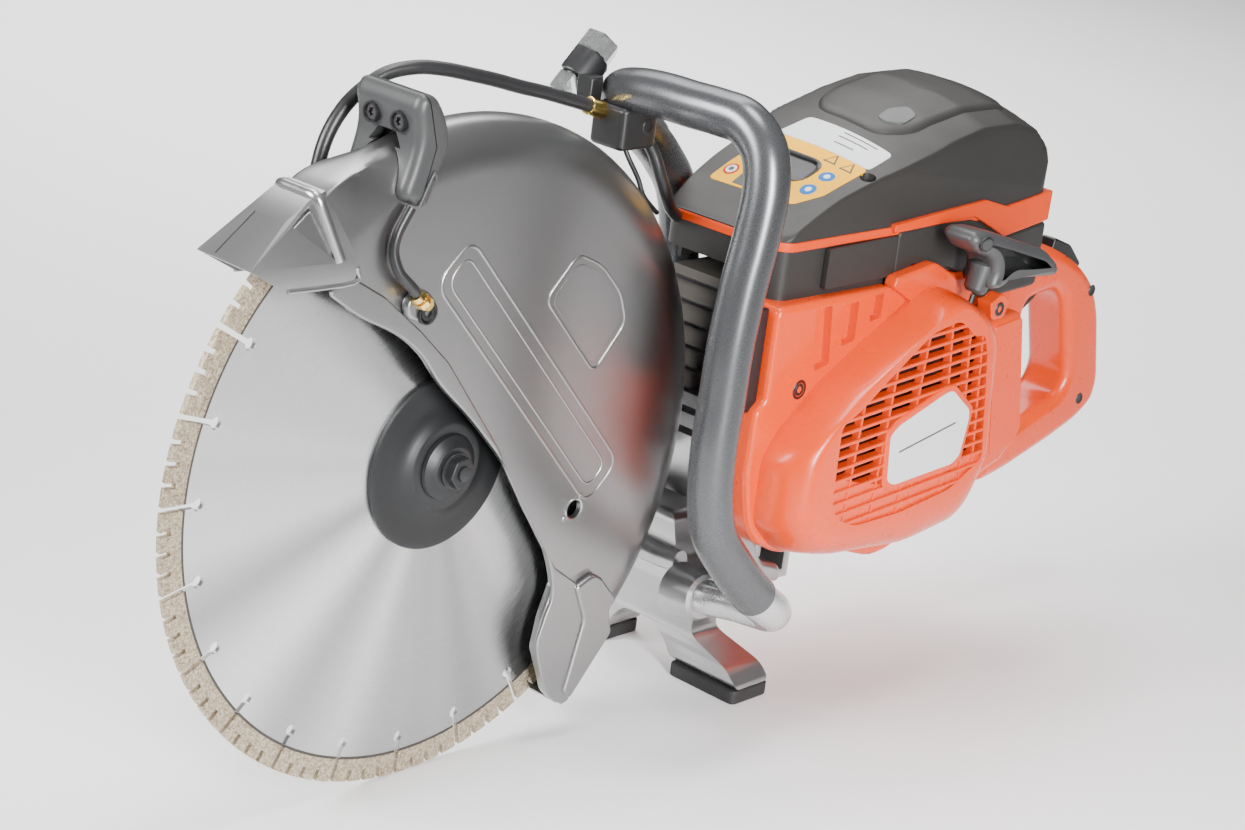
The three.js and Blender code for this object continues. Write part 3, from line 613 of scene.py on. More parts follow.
def blade():
    """Steel core, cutting segments and the weld between them; slots end in round keyholes."""
    step = 360 / SEGMENTS
    half = math.degrees(SLOT_HALF / WELD_R)
    edge = math.degrees(SEGMENT_GAP_HALF / BLADE_R)
    notch = math.degrees(NOTCH_HALF / BLADE_R)
    tooth = (step - 2 * edge) / TEETH
    core, segments = [], []
    for i in range(SEGMENTS):
        start = i * step - FIRST_SLOT
        end = start + step
        core += arc(0, 0, WELD_R, start + half, end - half, 7)
        a = math.radians(end)
        core += arc(KEYHOLE_AT * math.cos(a), KEYHOLE_AT * math.sin(a), KEYHOLE_R, end - 26, end - 334,
            12)
        outer = []
        for k in range(TEETH):
            t0 = start + edge + k * tooth + (notch if k else 0)
            t1 = start + edge + (k + 1) * tooth - (notch if k < TEETH - 1 else 0)
            outer += arc(0, 0, BLADE_R, t0, t1, 3)
            if k < TEETH - 1:
                outer += arc(0, 0, BLADE_R - NOTCH_DEPTH, t1, t1 + 2 * notch, 3)
        inner = arc(0, 0, WELD_R + 0.5, start + edge, end - edge, 6)
        segments.append(outer + inner[::-1])
    bore = arc(0, 0, 14, 0, 360, 32)[:-1]
    body = plate("blade_core", [core, bore], -CORE_HALF, CORE_HALF, 0.15, 1)
    dressed(body, BLADE, "blade_steel", ["blade"])
    rim = plate("blade_segments", segments, -SEGMENT_HALF, SEGMENT_HALF, 0.25, 1)
    dressed(rim, BLADE, "segment")
    band = [(WELD_R - 1.1, -WELD_HALF), (WELD_R + 0.8, -WELD_HALF), (WELD_R + 0.8, WELD_HALF),
        (WELD_R - 1.1, WELD_HALF)]
    weld = turned("blade_weld", band, sides=192)
    slots = [plate("slot", rect(WELD_R - 3, -1.6, WELD_R + 3, 1.6), -3, 3) for _ in range(SEGMENTS)]
    for i, tool in enumerate(slots):
        moved(tool, (0, 0, 0), spin(-((i + 1) * step - FIRST_SLOT), "Y"))
    weld = carved(weld, [combined("slots", slots)])
    dressed(weld, BLADE, "weld")


def flange():
    profile = [(13, -1.7), (53.4, -1.7), (53.5, -3.4), (52.6, -4.3), (48, -4.8), (40, -5), (34, -5.6),
        (29.5, -8), (27, -9.8), (25, -10.3), (13, -10.3)]
    dressed(turned("blade_flange", profile), BLADE, "black_steel", ["outer_flange"], 24)
    cone = [(6, -10.4), (20, -10.4), (20.4, -11.2), (19.6, -13), (16, -15.6), (14.2, -16.4),
        (13.4, -16.8), (6, -16.8)]
    dressed(turned("arbor_collar", cone, sides=64), BLADE, "black_steel", ["arbor_washer"],
        24)
    hexagon = [(9.8 * math.cos(math.radians(60 * k + 8)), 9.8 * math.sin(math.radians(60 * k + 8)))
        for k in range(6)]
    head = plate("arbor_hex", hexagon, -24.8, -18, 0.7, 2)
    collar = turned("collar", [(0.5, -19), (10.6, -19), (11, -18.4), (11, -16.9), (0.5, -16.9)], sides=48)
    tip = turned("tip", [(0.3, -25), (4.2, -25), (4.6, -25.3), (4.4, -26.4), (3, -26.8), (0.3, -26.8)],
        sides=32)
    dressed(combined("arbor_hex_bolt", [head, collar, tip]), BLADE, "black_steel",
        ["arbor_bolt"])


# ---- guard ----
FREE_EDGE = [
    (113, -178), (98, -166), (84, -133), (87, -115), (92, -95), (80, -63), (59, -29),
    (34, 1), (5, 31), (-22, 56), (-40, 77), (-60, 92), (-88, 106), (-111, 121),
]
TAIL_EDGE = [(135, -96), (152, -114), (146, -119), (151, -136), (118, -177)]
CREASE = [(-98, 131), (-72, 116), (-42, 92), (-18, 70), (30, 10), (58, -32), (92, -80), (116, -97)]
SHOULDER = 29
FACE_R = GUARD_R - SHOULDER
NOSE_PROUD = 5.7
HUB_BORE_R = 36


def smooth_step(value, start, end):
    t = min(1, max(0, (value - start) / (end - start)))
    return t * t * (3 - 2 * t)


def ray_hit(angle, line):
    """Distance from the blade's axis to an open line in one direction, in degrees."""
    dx, dz = math.cos(math.radians(angle)), math.sin(math.radians(angle))
    hits = []
    for (x0, z0), (x1, z1) in zip(line, line[1:]):
        before, after = x0 * dz - z0 * dx, x1 * dz - z1 * dx
        if before * after <= 0 and before != after:
            t = before / (before - after)
            hits.append((x0 + (x1 - x0) * t) * dx + (z0 + (z1 - z0) * t) * dz)
    return max(hits, default=0)


def crown(angle, half=GUARD_HALF, proud=0.0, steps=10):
    """(radius, y) points over the guard's rim, from its left face to its right face."""
    boxy = smooth_step(angle, 109, 122)
    top = GUARD_R + proud + NOSE_PROUD * boxy
    side = []
    for k in range(steps + 1):
        t = k / steps
        a = math.pi / 2 * t
        round_r, round_y = FACE_R + (top - FACE_R) * math.sin(a), 2 + (half - 2) * math.cos(a)
        along = min(1, t / 0.7)
        flat_r = FACE_R + (top - 1.2 - FACE_R) * along + 1.2 * smooth_step(t, 0.7, 0.8)
        flat_y = half + (15.6 - half) * along - 13.6 * smooth_step(t, 0.7, 1)
        side.append((round_r + (flat_r - round_r) * boxy, round_y + (flat_y - round_y) * boxy))
    return [(r, -y) for r, y in side] + [(r, y) for r, y in side[::-1]]


def thickened(obj, wall, bevel):
    """Gives an open skin a wall on its inner side, with rounded rims."""
    solid = obj.modifiers.new("wall", "SOLIDIFY")
    solid.thickness = wall * MM
    solid.offset = -1
    solid.use_even_offset = True
    rim = obj.modifiers.new("rim", "BEVEL")
    rim.width = bevel * MM
    rim.segments = 3
    rim.angle_limit = math.radians(50)
    return baked(obj)


def guard():
    line = [(x, z) for x, z, _ in smooth_path([(x, z, 0) for x, z in FREE_EDGE], 5)]
    start, end, steps, across = -45, 131, 132, 7
    rows = []
    for i in range(steps + 1):
        a = start + (end - start) * i / steps
        near = ray_hit(a, line)
        face = [(near + (FACE_R - near) * k / across, -GUARD_HALF) for k in range(across)]
        back = [(FACE_R + (HUB_BORE_R - FACE_R) * k / across, GUARD_HALF) for k in range(1, across + 1)]
        ray = math.radians(a)
        section = face + crown(a) + back
        rows.append([(r * math.cos(ray), y, r * math.sin(ray)) for r, y in section])
    skin = thickened(loft_open("guard_skin", rows), 3, 1.1)
    hole = rod("hole", (103, -30, -44), (103, -10, -44), 6)
    skin = carved(skin, [hole])
    disc = turned("guard_hub", [(35.5, 15), (53, 15), (54, 16), (54, 21), (53, 22), (35.5, 22)], sides=96)
    dressed(combined("guard_cover", [skin, disc]), GUARD, "guard", ["blade_guard"], 28)
    band = plate("guard_band", line + [(-112, 124)] + CREASE + TAIL_EDGE, -GUARD_HALF - 1.6,
        -GUARD_HALF + 1.5, 1.3, 3)
    dressed(band, GUARD, "guard")


def raised_line(name, points, radius, width, height, face):
    """Low moulded bead that runs round a rounded outline on the guard's face."""
    outer = fillet(points, radius, 6)
    path = [(x, face, z) for x, z in outer + outer[:2]]
    bead = sweep(name, path, width, 10)
    squeeze = height / width
    for vertex in bead.data.vertices:
        y = (vertex.co.y - AXIS.y) / MM
        vertex.co.y = AXIS.y + (face + (y - face) * squeeze) * MM
    return bead


def guard_marks():
    """Moulded features of the left face: plain outlines, the sight hole's lip and its two nubs."""
    face = -GUARD_HALF
    plate_edge = [(80, 121), (57, 96), (105.5, 44), (129, 72), (121, 92), (102, 111)]
    strip_edge = [(-9, 141), (-33, 117), (114, -43), (138, -19)]
    beads = [
        raised_line("bead", plate_edge, 7, 1.0, 0.9, face),
        raised_line("bead", strip_edge, 12, 1.1, 0.9, face),
        raised_line("bead", [(-11, 132), (-24, 117), (113, -32), (127, -19)], 9, 0.8, 0.6, face),
    ]
    lip = turned("lip", [(6, face - 0.5), (7, face - 0.9), (7.8, face + 0.4), (6, face + 1)], 103, -44,
        40)
    nubs = [rod("nub", (x, face - 0.9, z), (x, face + 1, z), 1.9, sides=20, bevel=0.4)
        for x, z in ((108, -36.5), (95.5, -49))]
    panel = plate("panel", fillet([(x * 0.86 + 13, z * 0.86 + 12) for x, z in plate_edge], 6),
        face - 0.35, face + 1, 0.2, 1)
    marks = combined("guard_marks", beads + [lip, panel] + nubs)
    dressed(marks, GUARD, "guard")


NOSE_TOP = [(-166, 146), (-142.5, 165), (-128, 174.5), (-117, 179)]
NOSE_SKIRT = [(-94.5, 139), (-97, 127), (-143, 128), (-170, 143)]
NOSE_TIP = (-107.5, 141)


def hull(name, points):
    work = bmesh.new()
    for p in points:
        work.verts.new(at(*p))
    bmesh.ops.convex_hull(work, input=work.verts)
    bmesh.ops.dissolve_limit(work, angle_limit=math.radians(2), verts=work.verts, edges=work.edges)
    bmesh.ops.recalc_face_normals(work, faces=work.faces)
    mesh = bpy.data.meshes.new(name)
    work.to_mesh(mesh)
    work.free()
    return link(bpy.data.objects.new(name, mesh))


def guard_nose():
    top_half, skirt_half = 15, 22
    points = [(x, side * top_half, z) for x, z in NOSE_TOP for side in (-1, 1)]
    points += [(x, side * skirt_half, z) for x, z in NOSE_SKIRT for side in (-1, 1)]
    shell = hull("guard_nose", points)
    inner = [(x + 3, side * (top_half - 3), z - 4) for x, z in NOSE_TOP for side in (-1, 1)]
    inner += [(x + 2, side * (skirt_half - 2.6), z - drop) for x, z in NOSE_SKIRT for side in (-1, 1)
        for drop in (2, 14)]
    tools = [hull("room", inner)]
    for side in (-1, 1):
        corners = [(-140, 15.6, 162.5), (-129, 15, 172.5), (NOSE_TIP[0] - 3, 21.4, NOSE_TIP[1])]
        corners = [Vector((x, side * y, z)) for x, y, z in corners]
        normal = (corners[1] - corners[0]).cross(corners[2] - corners[0]).normalized()
        normal *= 1 if normal.y * side > 0 else -1
        tools.append(hull("recess", [p + normal * d for p in corners for d in (-1.8, 6)]))
    tools.append(hull("groove", [
        (x, y, z + lift) for x, z in ((-168, 143.5), (-143, 163.8)) for y in (8.4, 9.8)
        for lift in (-0.6, 5)
    ]))
    shell = carved(shell, tools, bevel=1.8, segments=3, limit=16)
    across = [(NOSE_TIP[0], -20.6, NOSE_TIP[1]), (-121.5, -15.4, 174), (-122.5, -12, 176.2),
        (-122.5, 12, 176.2), (-121.5, 15.4, 174), (NOSE_TIP[0], 20.6, NOSE_TIP[1])]
    rib = sweep("nose_rib", smooth_path(dense_path(across, 6), 2), 3.6, 20)
    foot_beads = [
        sweep("bead", smooth_path([(-95.5, side * 21.6, 136), (-97.5, side * 21.8, 127.6),
        (-143, side * 21.8, 128.6)], 4), 1.5, 12)
        for side in (-1, 1)
    ]
    # The nose takes the lighter copy of the guard lacquer, a painted highlight.
    dressed(combined("guard_nose", [shell, rib, *foot_beads]), GUARD, "guard_painted_highlight",
        angle=30)


def guard_tail():
    outline = [(117, -177), (111, -178), (98, -166), (84, -133), (87, -113), (94, -92),
        (124, -84)] + TAIL_EDGE[:4]
    lower = plate("guard_tail", fillet(outline, 3, 3), -GUARD_HALF, GUARD_HALF, 2.4, 3)
    room = turned("room", [(0.5, -14.5), (203, -14.5), (203, 14.5), (0.5, 14.5)], sides=128)
    lower = carved(lower, [room])
    pocket_edge = [(111, -97), (126, -91), (134, -95), (151, -114), (145, -119), (150, -136), (118, -175),
        (111, -168), (122, -121)]
    pocket = plate("pocket", fillet(pocket_edge, 3, 3), -GUARD_HALF - 3.6, -GUARD_HALF + 4, 2.2, 4)
    dressed(combined("guard_tail", [lower, pocket]), GUARD, "guard")


def guard_block():
    outline = [(-66, 221), (-62, 229), (-51, 227), (-42, 214), (-38, 199), (-51, 165), (-58, 165.5),
        (-72, 172), (-66, 187), (-62, 204)]
    body = plate("guard_handle", fillet(outline, 9, 6), -27, 27, 6, 6)
    rows = []
    for k in range(25):
        a = 90 + 40 * k / 24
        section = crown(a, GUARD_HALF + 0.6, 0.9)
        section = [(120, section[0][1])] + section + [(120, section[-1][1])]
        rows.append([(r * math.cos(math.radians(a)), y, r * math.sin(math.radians(a)))
            for r, y in section])
    split = [(-61, 235), (-50, 199), (-60, 160), (-60.8, 160), (-50.8, 199), (-61.8, 235)]
    cups = [rod("cup", (-90, y, 211), (-62.5, y, 211), 5.8) for y in (-11, 11)]
    notch = hull("notch", [(x, y, z) for x in (-80, -53)
        for y, z in ((-13, 196), (13, 196), (-7, 204.5), (7, 204.5))])
    body = carved(body, [loft("saddle", rows), plate("split", split, -40, 40), notch, *cups])
    dressed(body, GUARD, "grip_grey", ["guard_grip"], 30)
    for i, y in enumerate((-11, 11)):
        cup = turned(f"guard_handle_cup_{i}", [(4.6, -2), (5.7, -2), (5.7, 3), (4.6, 3)], sides=32)
        moved(cup, (-63.5, y, 211), spin(90, "Z"))
        dressed(cup, GUARD, "black")
        torx(f"guard_handle_screw_{i}", (-65, y, 211), (-1, 0, 0), 4.7, GUARD, "steel_dark")
    rail = sweep("guard_handle_rail",
        smooth_path([(-59, -27, 167), (-52, -27.4, 183), (-49.6, -27.2, 184.6), (-48.6, -27, 181)], 5),
        1.3, 12)
    dressed(rail, GUARD, "grip_grey")


def nozzles():
    for side, label in ((-1, "left"), (1, "right")):
        base, face = side * (GUARD_HALF + 0.2), side * (GUARD_HALF + 6.2)
        outline = fillet([(-58, 103), (-60, 112), (-52, 119), (-44, 117), (-36, 109), (-36, 101),
            (-44, 97)], 5)
        body = plate(f"nozzle_body_{label}", outline, min(base, face), max(base, face), 2, 4)
        dressed(body, GUARD, "guard", [f"nozzle_{label}"])
        torx(f"nozzle_screw_{label}", (-44.5, face + side * 1.4, 104.5), (0, side, 0), 4.6, GUARD)
        ring = turned(f"nozzle_screw_rim_{label}",
            [(4.6, face), (6, face + side * 1.8), (6.8, face + side * 1.6), (6.8, face - side)], -44.5,
            104.5, 40)
        dressed(ring, GUARD, "black")
        y = side * (GUARD_HALF + 10)
        parts = [
            rod("foot", (-50, face, 112), (-50, y + side * 3, 112), 4.4, sides=6, bevel=0.4),
            rod("stem", (-50, y, 111), (-57.5, y, 118), 3.2, sides=24),
            rod("nut", (-51, y, 112), (-54, y, 114.8), 5, sides=6, bevel=0.4),
            rod("lip", (-55.4, y, 116), (-57.6, y, 118), 4.6, 3.8, sides=24),
        ]
        fitting = combined(f"nozzle_fitting_{label}", parts)
        dressed(fitting, GUARD, "brass", [f"nozzle_barb_{label}"] if side < 0 else [])
    route = [(-57.4, -30, 118.4), (-62, -30, 123), (-69, -27, 131), (-72.5, -24.6, 142),
        (-71, -24.6, 153), (-63, -24.6, 166.5)]
    dressed(sweep("feed_tube", smooth_path(route), 3.2, 24), GUARD, "hose", ["feed_hose_left"])


# ---- water hose over the top ----
HOSE_ROUTE = [
    (126.6, 20, 194), (114, 20, 198), (100, 20, 202), (80, 21, 207.5), (59, 22, 212.5), (40, 24, 217.5),
    (22, 26, 221.6), (5, 29, 225),
    (-12, 33, 226.5), (-30, 38, 223.5), (-45, 41, 215), (-57, 42, 205), (-67, 42, 191), (-73, 41, 175),
    (-76, 39, 157), (-75, 35, 140),
    (-68, 31, 129.4), (-57.5, 30, 118.5),
]


def water_hose():
    hose = sweep("water_line", smooth_path(HOSE_ROUTE, 6), 4.2, 24)
    hose = dressed(hose, None, "hose", ["water_hose"])
    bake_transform(hose)


# ---- front handle ----
TUBE_ROUTE = [
    (190.5, TUBE_LEFT, -91), (178, TUBE_LEFT, -80), (162, TUBE_LEFT, -64), (142, TUBE_LEFT, -40),
    (133, TUBE_LEFT, -14), (130, TUBE_LEFT, 18), (131, TUBE_LEFT, 50), (132, TUBE_LEFT, 82),
    (136, TUBE_LEFT, 116),
    (142, TUBE_LEFT, 148), (147, -98, 175), (150, -90, 195), (150, -74, 207), (148, -56, 209),
    (146, -36, 209),
    (145, -14, 209), (145, 6, 207), (149, 22, 202), (163, 33, 192), (184, 41, 178), (206, 48, 163),
]


def front_handle():
    tube = sweep("handle_tube", smooth_path(TUBE_ROUTE, 7), 14, 48)
    dressed(tube, CHASSIS, "tube", ["front_handle"])
    route = [(188, TUBE_LEFT, -89), (199, TUBE_LEFT, -98), (211, -98, -106), (220, -91, -112),
        (223, -78, -116), (221, -62, -118), (217, -44, -120), (216, -24, -121)]
    elbow = sweep("handle_foot", smooth_path(route, 8), lambda t: 12.9 - 1.6 * smooth_step(t, 0.45, 0.75),
        40)
    dressed(elbow, CHASSIS, "bare", ["handle_elbow"])
    strut = sweep("handle_rear_leg",
        smooth_path([(204, 47.5, 164), (226, 53, 148), (250, 58, 124), (264, 61, 90), (270, 62, 46)], 8),
        13.4, 40)
    dressed(strut, CHASSIS, "tube", ["handle_strut"])


def hose_clamp():
    body = plate("handle_bracket", fillet([(128, 0), (158, 0), (164, 8), (164, 28), (128, 28)], 5), 172,
        198, 3, 3, "z")
    ring = turned("ring", [(8.3, -9), (12, -9), (12.6, -8), (12.6, 8), (12, 9), (8.3, 9)], sides=40)
    moved(ring, (136, 46, 212), spin(45, "Y") @ spin(90, "X"))
    mouth = block("mouth", 110, 170, 50, 70, 190, 240)
    ring = carved(ring, [mouth])
    arm = block("arm", 123, 134, 25, 38, 194, 212, 2)
    dressed(combined("handle_bracket_body", [body, ring, arm]), CHASSIS, "black",
        ["handle_clamp"])
    clip = rod("hose_sleeve", (131, 20, 192.6), (116, 20, 197.4), 5.6, sides=32, bevel=0.6)
    dressed(clip, CHASSIS, "brass")
    torx("bracket_bolt", (150, -0.5, 186), (0, -1, 0), 5, CHASSIS)
    drop = [(158, 10, 178), (164, 6, 168), (170, 2, 152), (180, 4, 138), (192, 10, 128), (206, 16, 120)]
    dressed(sweep("supply_tube", smooth_path(drop), 4, 20), CHASSIS, "hose")
    thin = [(134, 4, 176), (136, 0, 168), (142, -4, 156), (146, -6, 146), (156, -4, 138), (170, 2, 130)]
    dressed(sweep("throttle_wire", smooth_path(thin), 1.6, 12), CHASSIS, "black")


def wrench():
    low_end, high_end = Vector((120, 46, 196)), Vector((152, 46, 228))

    def on(t):
        return low_end.lerp(high_end, t)

    shank = rod("shank", on(0.24), on(0.78), 7.8, sides=40)
    ends = [rod("hex", on(0.0), on(0.3), 10.4, sides=6, bevel=1.0),
        rod("hex", on(0.68), on(1), 12, sides=6, bevel=1.0)]
    collars = [rod("collar", on(0.26), on(0.33), 10, 8, sides=40),
        rod("collar", on(0.64), on(0.72), 8, 11.4, sides=40)]
    body = combined("spanner", [shank, *ends, *collars])
    socket = rod("socket", on(0.82), on(1.08), 9, sides=6)
    body = carved(body, [socket])
    dressed(body, "wrench", "zinc", ["wrench"])


# ---- feet ----
FEET_Y = 33.5
SOLE_TOP = GROUND + 10


def feet():
    """Casting that carries both front feet, symmetrical about its own middle."""
    half = [(-1, -78), (-5, -108), (-18, -117), (-23, -127), (-19, -146), (-14, -163), (-46, -177),
        (-53, -186), (-54, SOLE_TOP)]
    half += [(4, SOLE_TOP), (8, -179), (20, -166)]
    mirrored = [(min(117.8, FEET_Y * 2 - y), z) for y, z in half[::-1]]
    front_edge = [(222, -78), (227, -118), (233, -140), (242, -170), (245, SOLE_TOP)]
    rear_edge = [(278, SOLE_TOP), (277, -180), (262, -158), (258, -78)]
    front = plate("foot_casting", fillet(half + mirrored, 7, 4), 215, 287, 0, 1, "x")
    profile = plate("profile", fillet(front_edge + rear_edge, 8, 5), -70, 130)
    body = carved(front, [profile], "INTERSECT", 3.4, 4, 30)
    dressed(body, CHASSIS, "cast", ["foot_bracket"], 40)
    ledge = sweep("foot_ledge", [(224, -10, -109), (223, 6, -110), (223, 60, -110), (224, 76, -109)], 7.5,
        20)
    dressed(ledge, CHASSIS, "cast")
    for name, y0, y1 in (("left", -52, 3), ("right", 66, 116.8)):
        outline = fillet(rect(244, y0 - 2, 280, y1 + 1), 5)
        sole = plate(f"sole_{name}", outline, GROUND, SOLE_TOP, 1.6, 3, "z")
        dressed(sole, CHASSIS, "rubber", [f"foot_pad_{name}"])
    boss = turned("foot_boss", [(0.5, 0), (7.4, 0), (9.6, 1), (11, 4), (11.5, 10), (0.5, 10)], sides=48)
    moved(boss, (229, -11, -138), spin(-90, "Z"))
    dressed(boss, CHASSIS, "cast")
    torx("foot_screw", (228, -11, -138), (-1, 0, 0), 7, CHASSIS)
    hub = rod("foot_socket", (217, -40, -122), (218, -14, -124), 15.5, 18, sides=48, bevel=2)
    dressed(hub, CHASSIS, "cast")


# ---- covers ----
def footprint(grow):
    points = [
        (BODY_FRONT - grow, -60 - grow), (BODY_FRONT + 7, -70 - grow), (300, -72 - grow),
        (BODY_REAR - 10, BODY_LEFT - grow), (BODY_REAR + grow, -66 - grow),
        (BODY_REAR + grow, 46 + grow), (BODY_REAR - 10, 55 + grow), (345, 52 + grow), (300, 38 + grow),
        (232, 34 + grow), (BODY_FRONT - grow, 27 + grow),
    ]
    return fillet(points, 10, 5)


def soft_least(values, k):
    """Smallest of some heights, with a rounded change from one to the next."""
    total = sum(math.exp(-v / k) for v in values)
    return -k * math.log(total)


CREST = [
    (207, 125), (256, 150), (295, 166), (330, 178), (366, 188), (400, 194), (436, 194), (460, 188),
    (474, 176), (484, 150),
]
COVER_SCREWS = [(288, -65), (274, 27)]
WELL = [(256, -36), (281, -36), (281, 12), (256, 12)]


def cover_height(x, y):
    crest = CREST[0][1]
    for (x0, z0), (x1, z1) in zip(CREST, CREST[1:]):
        if x > x0:
            crest = z0 + (min(x, x1) - x0) * (z1 - z0) / (x1 - x0)
    fall = 14 * smooth_step(x, 225, 360) * ((y - 5) / 75) ** 2
    left = SEAM_Z + 6 + (y + 75.5) * 9
    right = SEAM_Z + 6 + (54 - y) * 4.5
    back = SEAM_Z + 12 + (BODY_REAR - x) * 2.6
    return soft_least([crest - fall, left, right, back], 2.2)


def cover_shell():
    dense = dense_outline(footprint(0), 5)
    cx, cy = 345, -12
    rings = [[(x, y, SEAM_Z) for x, y in dense]]
    steps = 38
    for i in range(steps):
        s = 1 - (i / steps) ** 1.5
        edge = 2.2 * max(0, 1 - (1 - s) * 45) ** 2
        ring = []
        for x, y in dense:
            px, py = cx + (x - cx) * s, cy + (y - cy) * s
            ring.append((px, py, max(SEAM_Z + 0.6, cover_height(px, py) - edge)))
        rings.append(ring)
    shell = loft("engine_cover", rings)
    bores = [rod("bore", (x, y, cover_height(x, y) - 5), (x, y, 240), 5.2, sides=32)
        for x, y in COVER_SCREWS]
    well = plate("bore", fillet(WELL, 11, 6), 144, 200, normal="z")
    shell = carved(shell, [*bores, well])
    dressed(shell, CHASSIS, "grey", ["top_cover"], 50)
    for i, (x, y) in enumerate(COVER_SCREWS):
        z = cover_height(x, y) - 4.6
        cup = rod(f"cover_cup_{i}", (x, y, z - 3), (x, y, z), 5.3, sides=32)
        dressed(cup, CHASSIS, "black")
        torx(f"cover_screw_{i}", (x, y, z + 1.4), (0, 0, 1), 3.8, CHASSIS)


def cover_plateau():
    outline = dense_outline(fillet([(328, -36), (348, -50), (446, -52), (456, -40), (456, 14), (438, 28),
        (348, 28), (330, 14)], 10, 5))
    draped("cover_plateau", outline, 2.2, "grey", (392, -12), 3)
    emblem = dense_outline(fillet([(340, -32), (348, -42), (364, -41), (368, -30), (356, -22),
        (342, -24)], 4), 2)
    draped("cover_emblem", emblem, 2.9, "grip_grey", (354, -32), 1)


def draped(name, outline, lift, material, centre, ramp=0.0, tools=()):
    """Thin raised field that follows the cover; ramp is the width of its sloping edge."""
    cx, cy = centre
    reach = max(math.dist(p, centre) for p in outline)
    shelf = 1 - ramp / reach
    rings = []
    for s, up in ((1.0, -1.0), (1.0, 0 if ramp else lift), (shelf, lift),
            *((shelf * k / 8, lift) for k in range(7, 0, -1)), (0.02, lift)):
        ring = []
        for x, y in outline:
            px, py = cx + (x - cx) * s, cy + (y - cy) * s
            ring.append((px, py, cover_height(px, py) + up))
        rings.append(ring)
    field = loft(name, rings)
    if tools:
        field = carved(field, tools)
    dressed(field, CHASSIS, material, angle=60)


def dense_outline(points, step=4):
    out = []
    for a, b in zip(points, points[1:] + points[:1]):
        count = max(1, int(math.dist(a, b) / step))
        out += [(a[0] + (b[0] - a[0]) * k / count, a[1] + (b[1] - a[1]) * k / count)
            for k in range(count)]
    return out


def disc(x, y, radius):
    return arc(x, y, radius, 0, 360, 28)[:-1]


def cover_labels():
    yellow = dense_outline(fillet([(238, -47), (254, -59), (293.6, -60), (293.6, 17), (237, 21)], 4))
    hole = plate("bore", fillet(WELL, 11, 6), 130, 200, normal="z")
    draped("label_yellow_field", yellow, 0.4, "yellow", (266, -18), tools=[hole])
    white = dense_outline(fillet([(294.2, -60), (320, -58), (320, 12), (294.2, 17)], 4))
    draped("label_white_field", white, 0.4, "white", (307, -22))
    for i, (x, y) in enumerate(((271, -46), (254, -46))):
        draped(f"label_dot_{i}", disc(x, y, 5.2), 0.6, "blue", (x, y))
        draped(f"label_dot_mark_{i}", disc(x, y, 2.2), 0.7, "white", (x, y))
    for i, (x, y) in enumerate(((266, 14.5), (249, 13))):
        draped(f"label_ring_{i}", disc(x, y, 5), 0.6, "red", (x, y))
        draped(f"label_ring_face_{i}", disc(x, y, 3.6), 0.7, "white", (x, y))
        draped(f"label_ring_dot_{i}", disc(x, y, 1.8), 0.8, "black", (x, y))
    for i, (x, y) in enumerate(((289, -36), (288, -50))):
        border = [(x - 5, y - 5), (x + 4.5, y), (x - 5, y + 5)]
        draped(f"label_triangle_{i}", dense_outline(border, 1), 0.6, "black", (x - 2, y))
        draped(f"label_triangle_face_{i}",
            dense_outline([(x - 4, y - 3.3), (x + 2.4, y), (x - 4, y + 3.3)], 1), 0.7, "yellow",
            (x - 2, y))
    for i, (x, y, half) in enumerate(((316, -34, 14), (311, -32, 12), (304, -30, 8))):
        draped(f"label_bar_{i}", dense_outline(rect(x, y - half, x + 1, y + half), 1), 0.6, "grip_grey",
            (x + 0.5, y))
    draped("label_patch", dense_outline(rect(239, -12, 248, 3), 2), 0.6, "black", (243.5, -4))


def valve():
    """Well in the cover with the pressure release button standing in it."""
    well = fillet(WELL, 11, 6)
    cx, cy, floor = 268.5, -12, 146

    def scaled(points, along, across):
        return [(cx + (x - cx) * along, cy + (y - cy) * across) for x, y in points]

    lip, inner = scaled(well, 1.1, 1.05), scaled(well, 0.88, 0.94)
    rings = [[(x, y, cover_height(x, y) + up) for x, y in edge]
        for edge, up in ((lip, -0.6), (lip, 0.9), (well, 1.4), (inner, 0.4))]
    rings += [[(x, y, floor) for x, y in edge] for edge in (inner, scaled(inner, 0.1, 0.1))]
    dressed(loft("valve_well", rings), CHASSIS, "black", angle=50)
    cap = rod("valve_cap", (268, 2, floor - 2), (268, 2, 160), 7.5, sides=40, bevel=1.2)
    dressed(cap, "decompression", "black", ["decompression_valve"])


def wall_band(name, outer, lower, upper, wall, material, nodes, bevel=0.5):
    inner = footprint(outer - wall)
    ring = plate(name, [footprint(outer), inner], lower, upper, bevel, 2, "z")
    dressed(ring, CHASSIS, material, nodes)


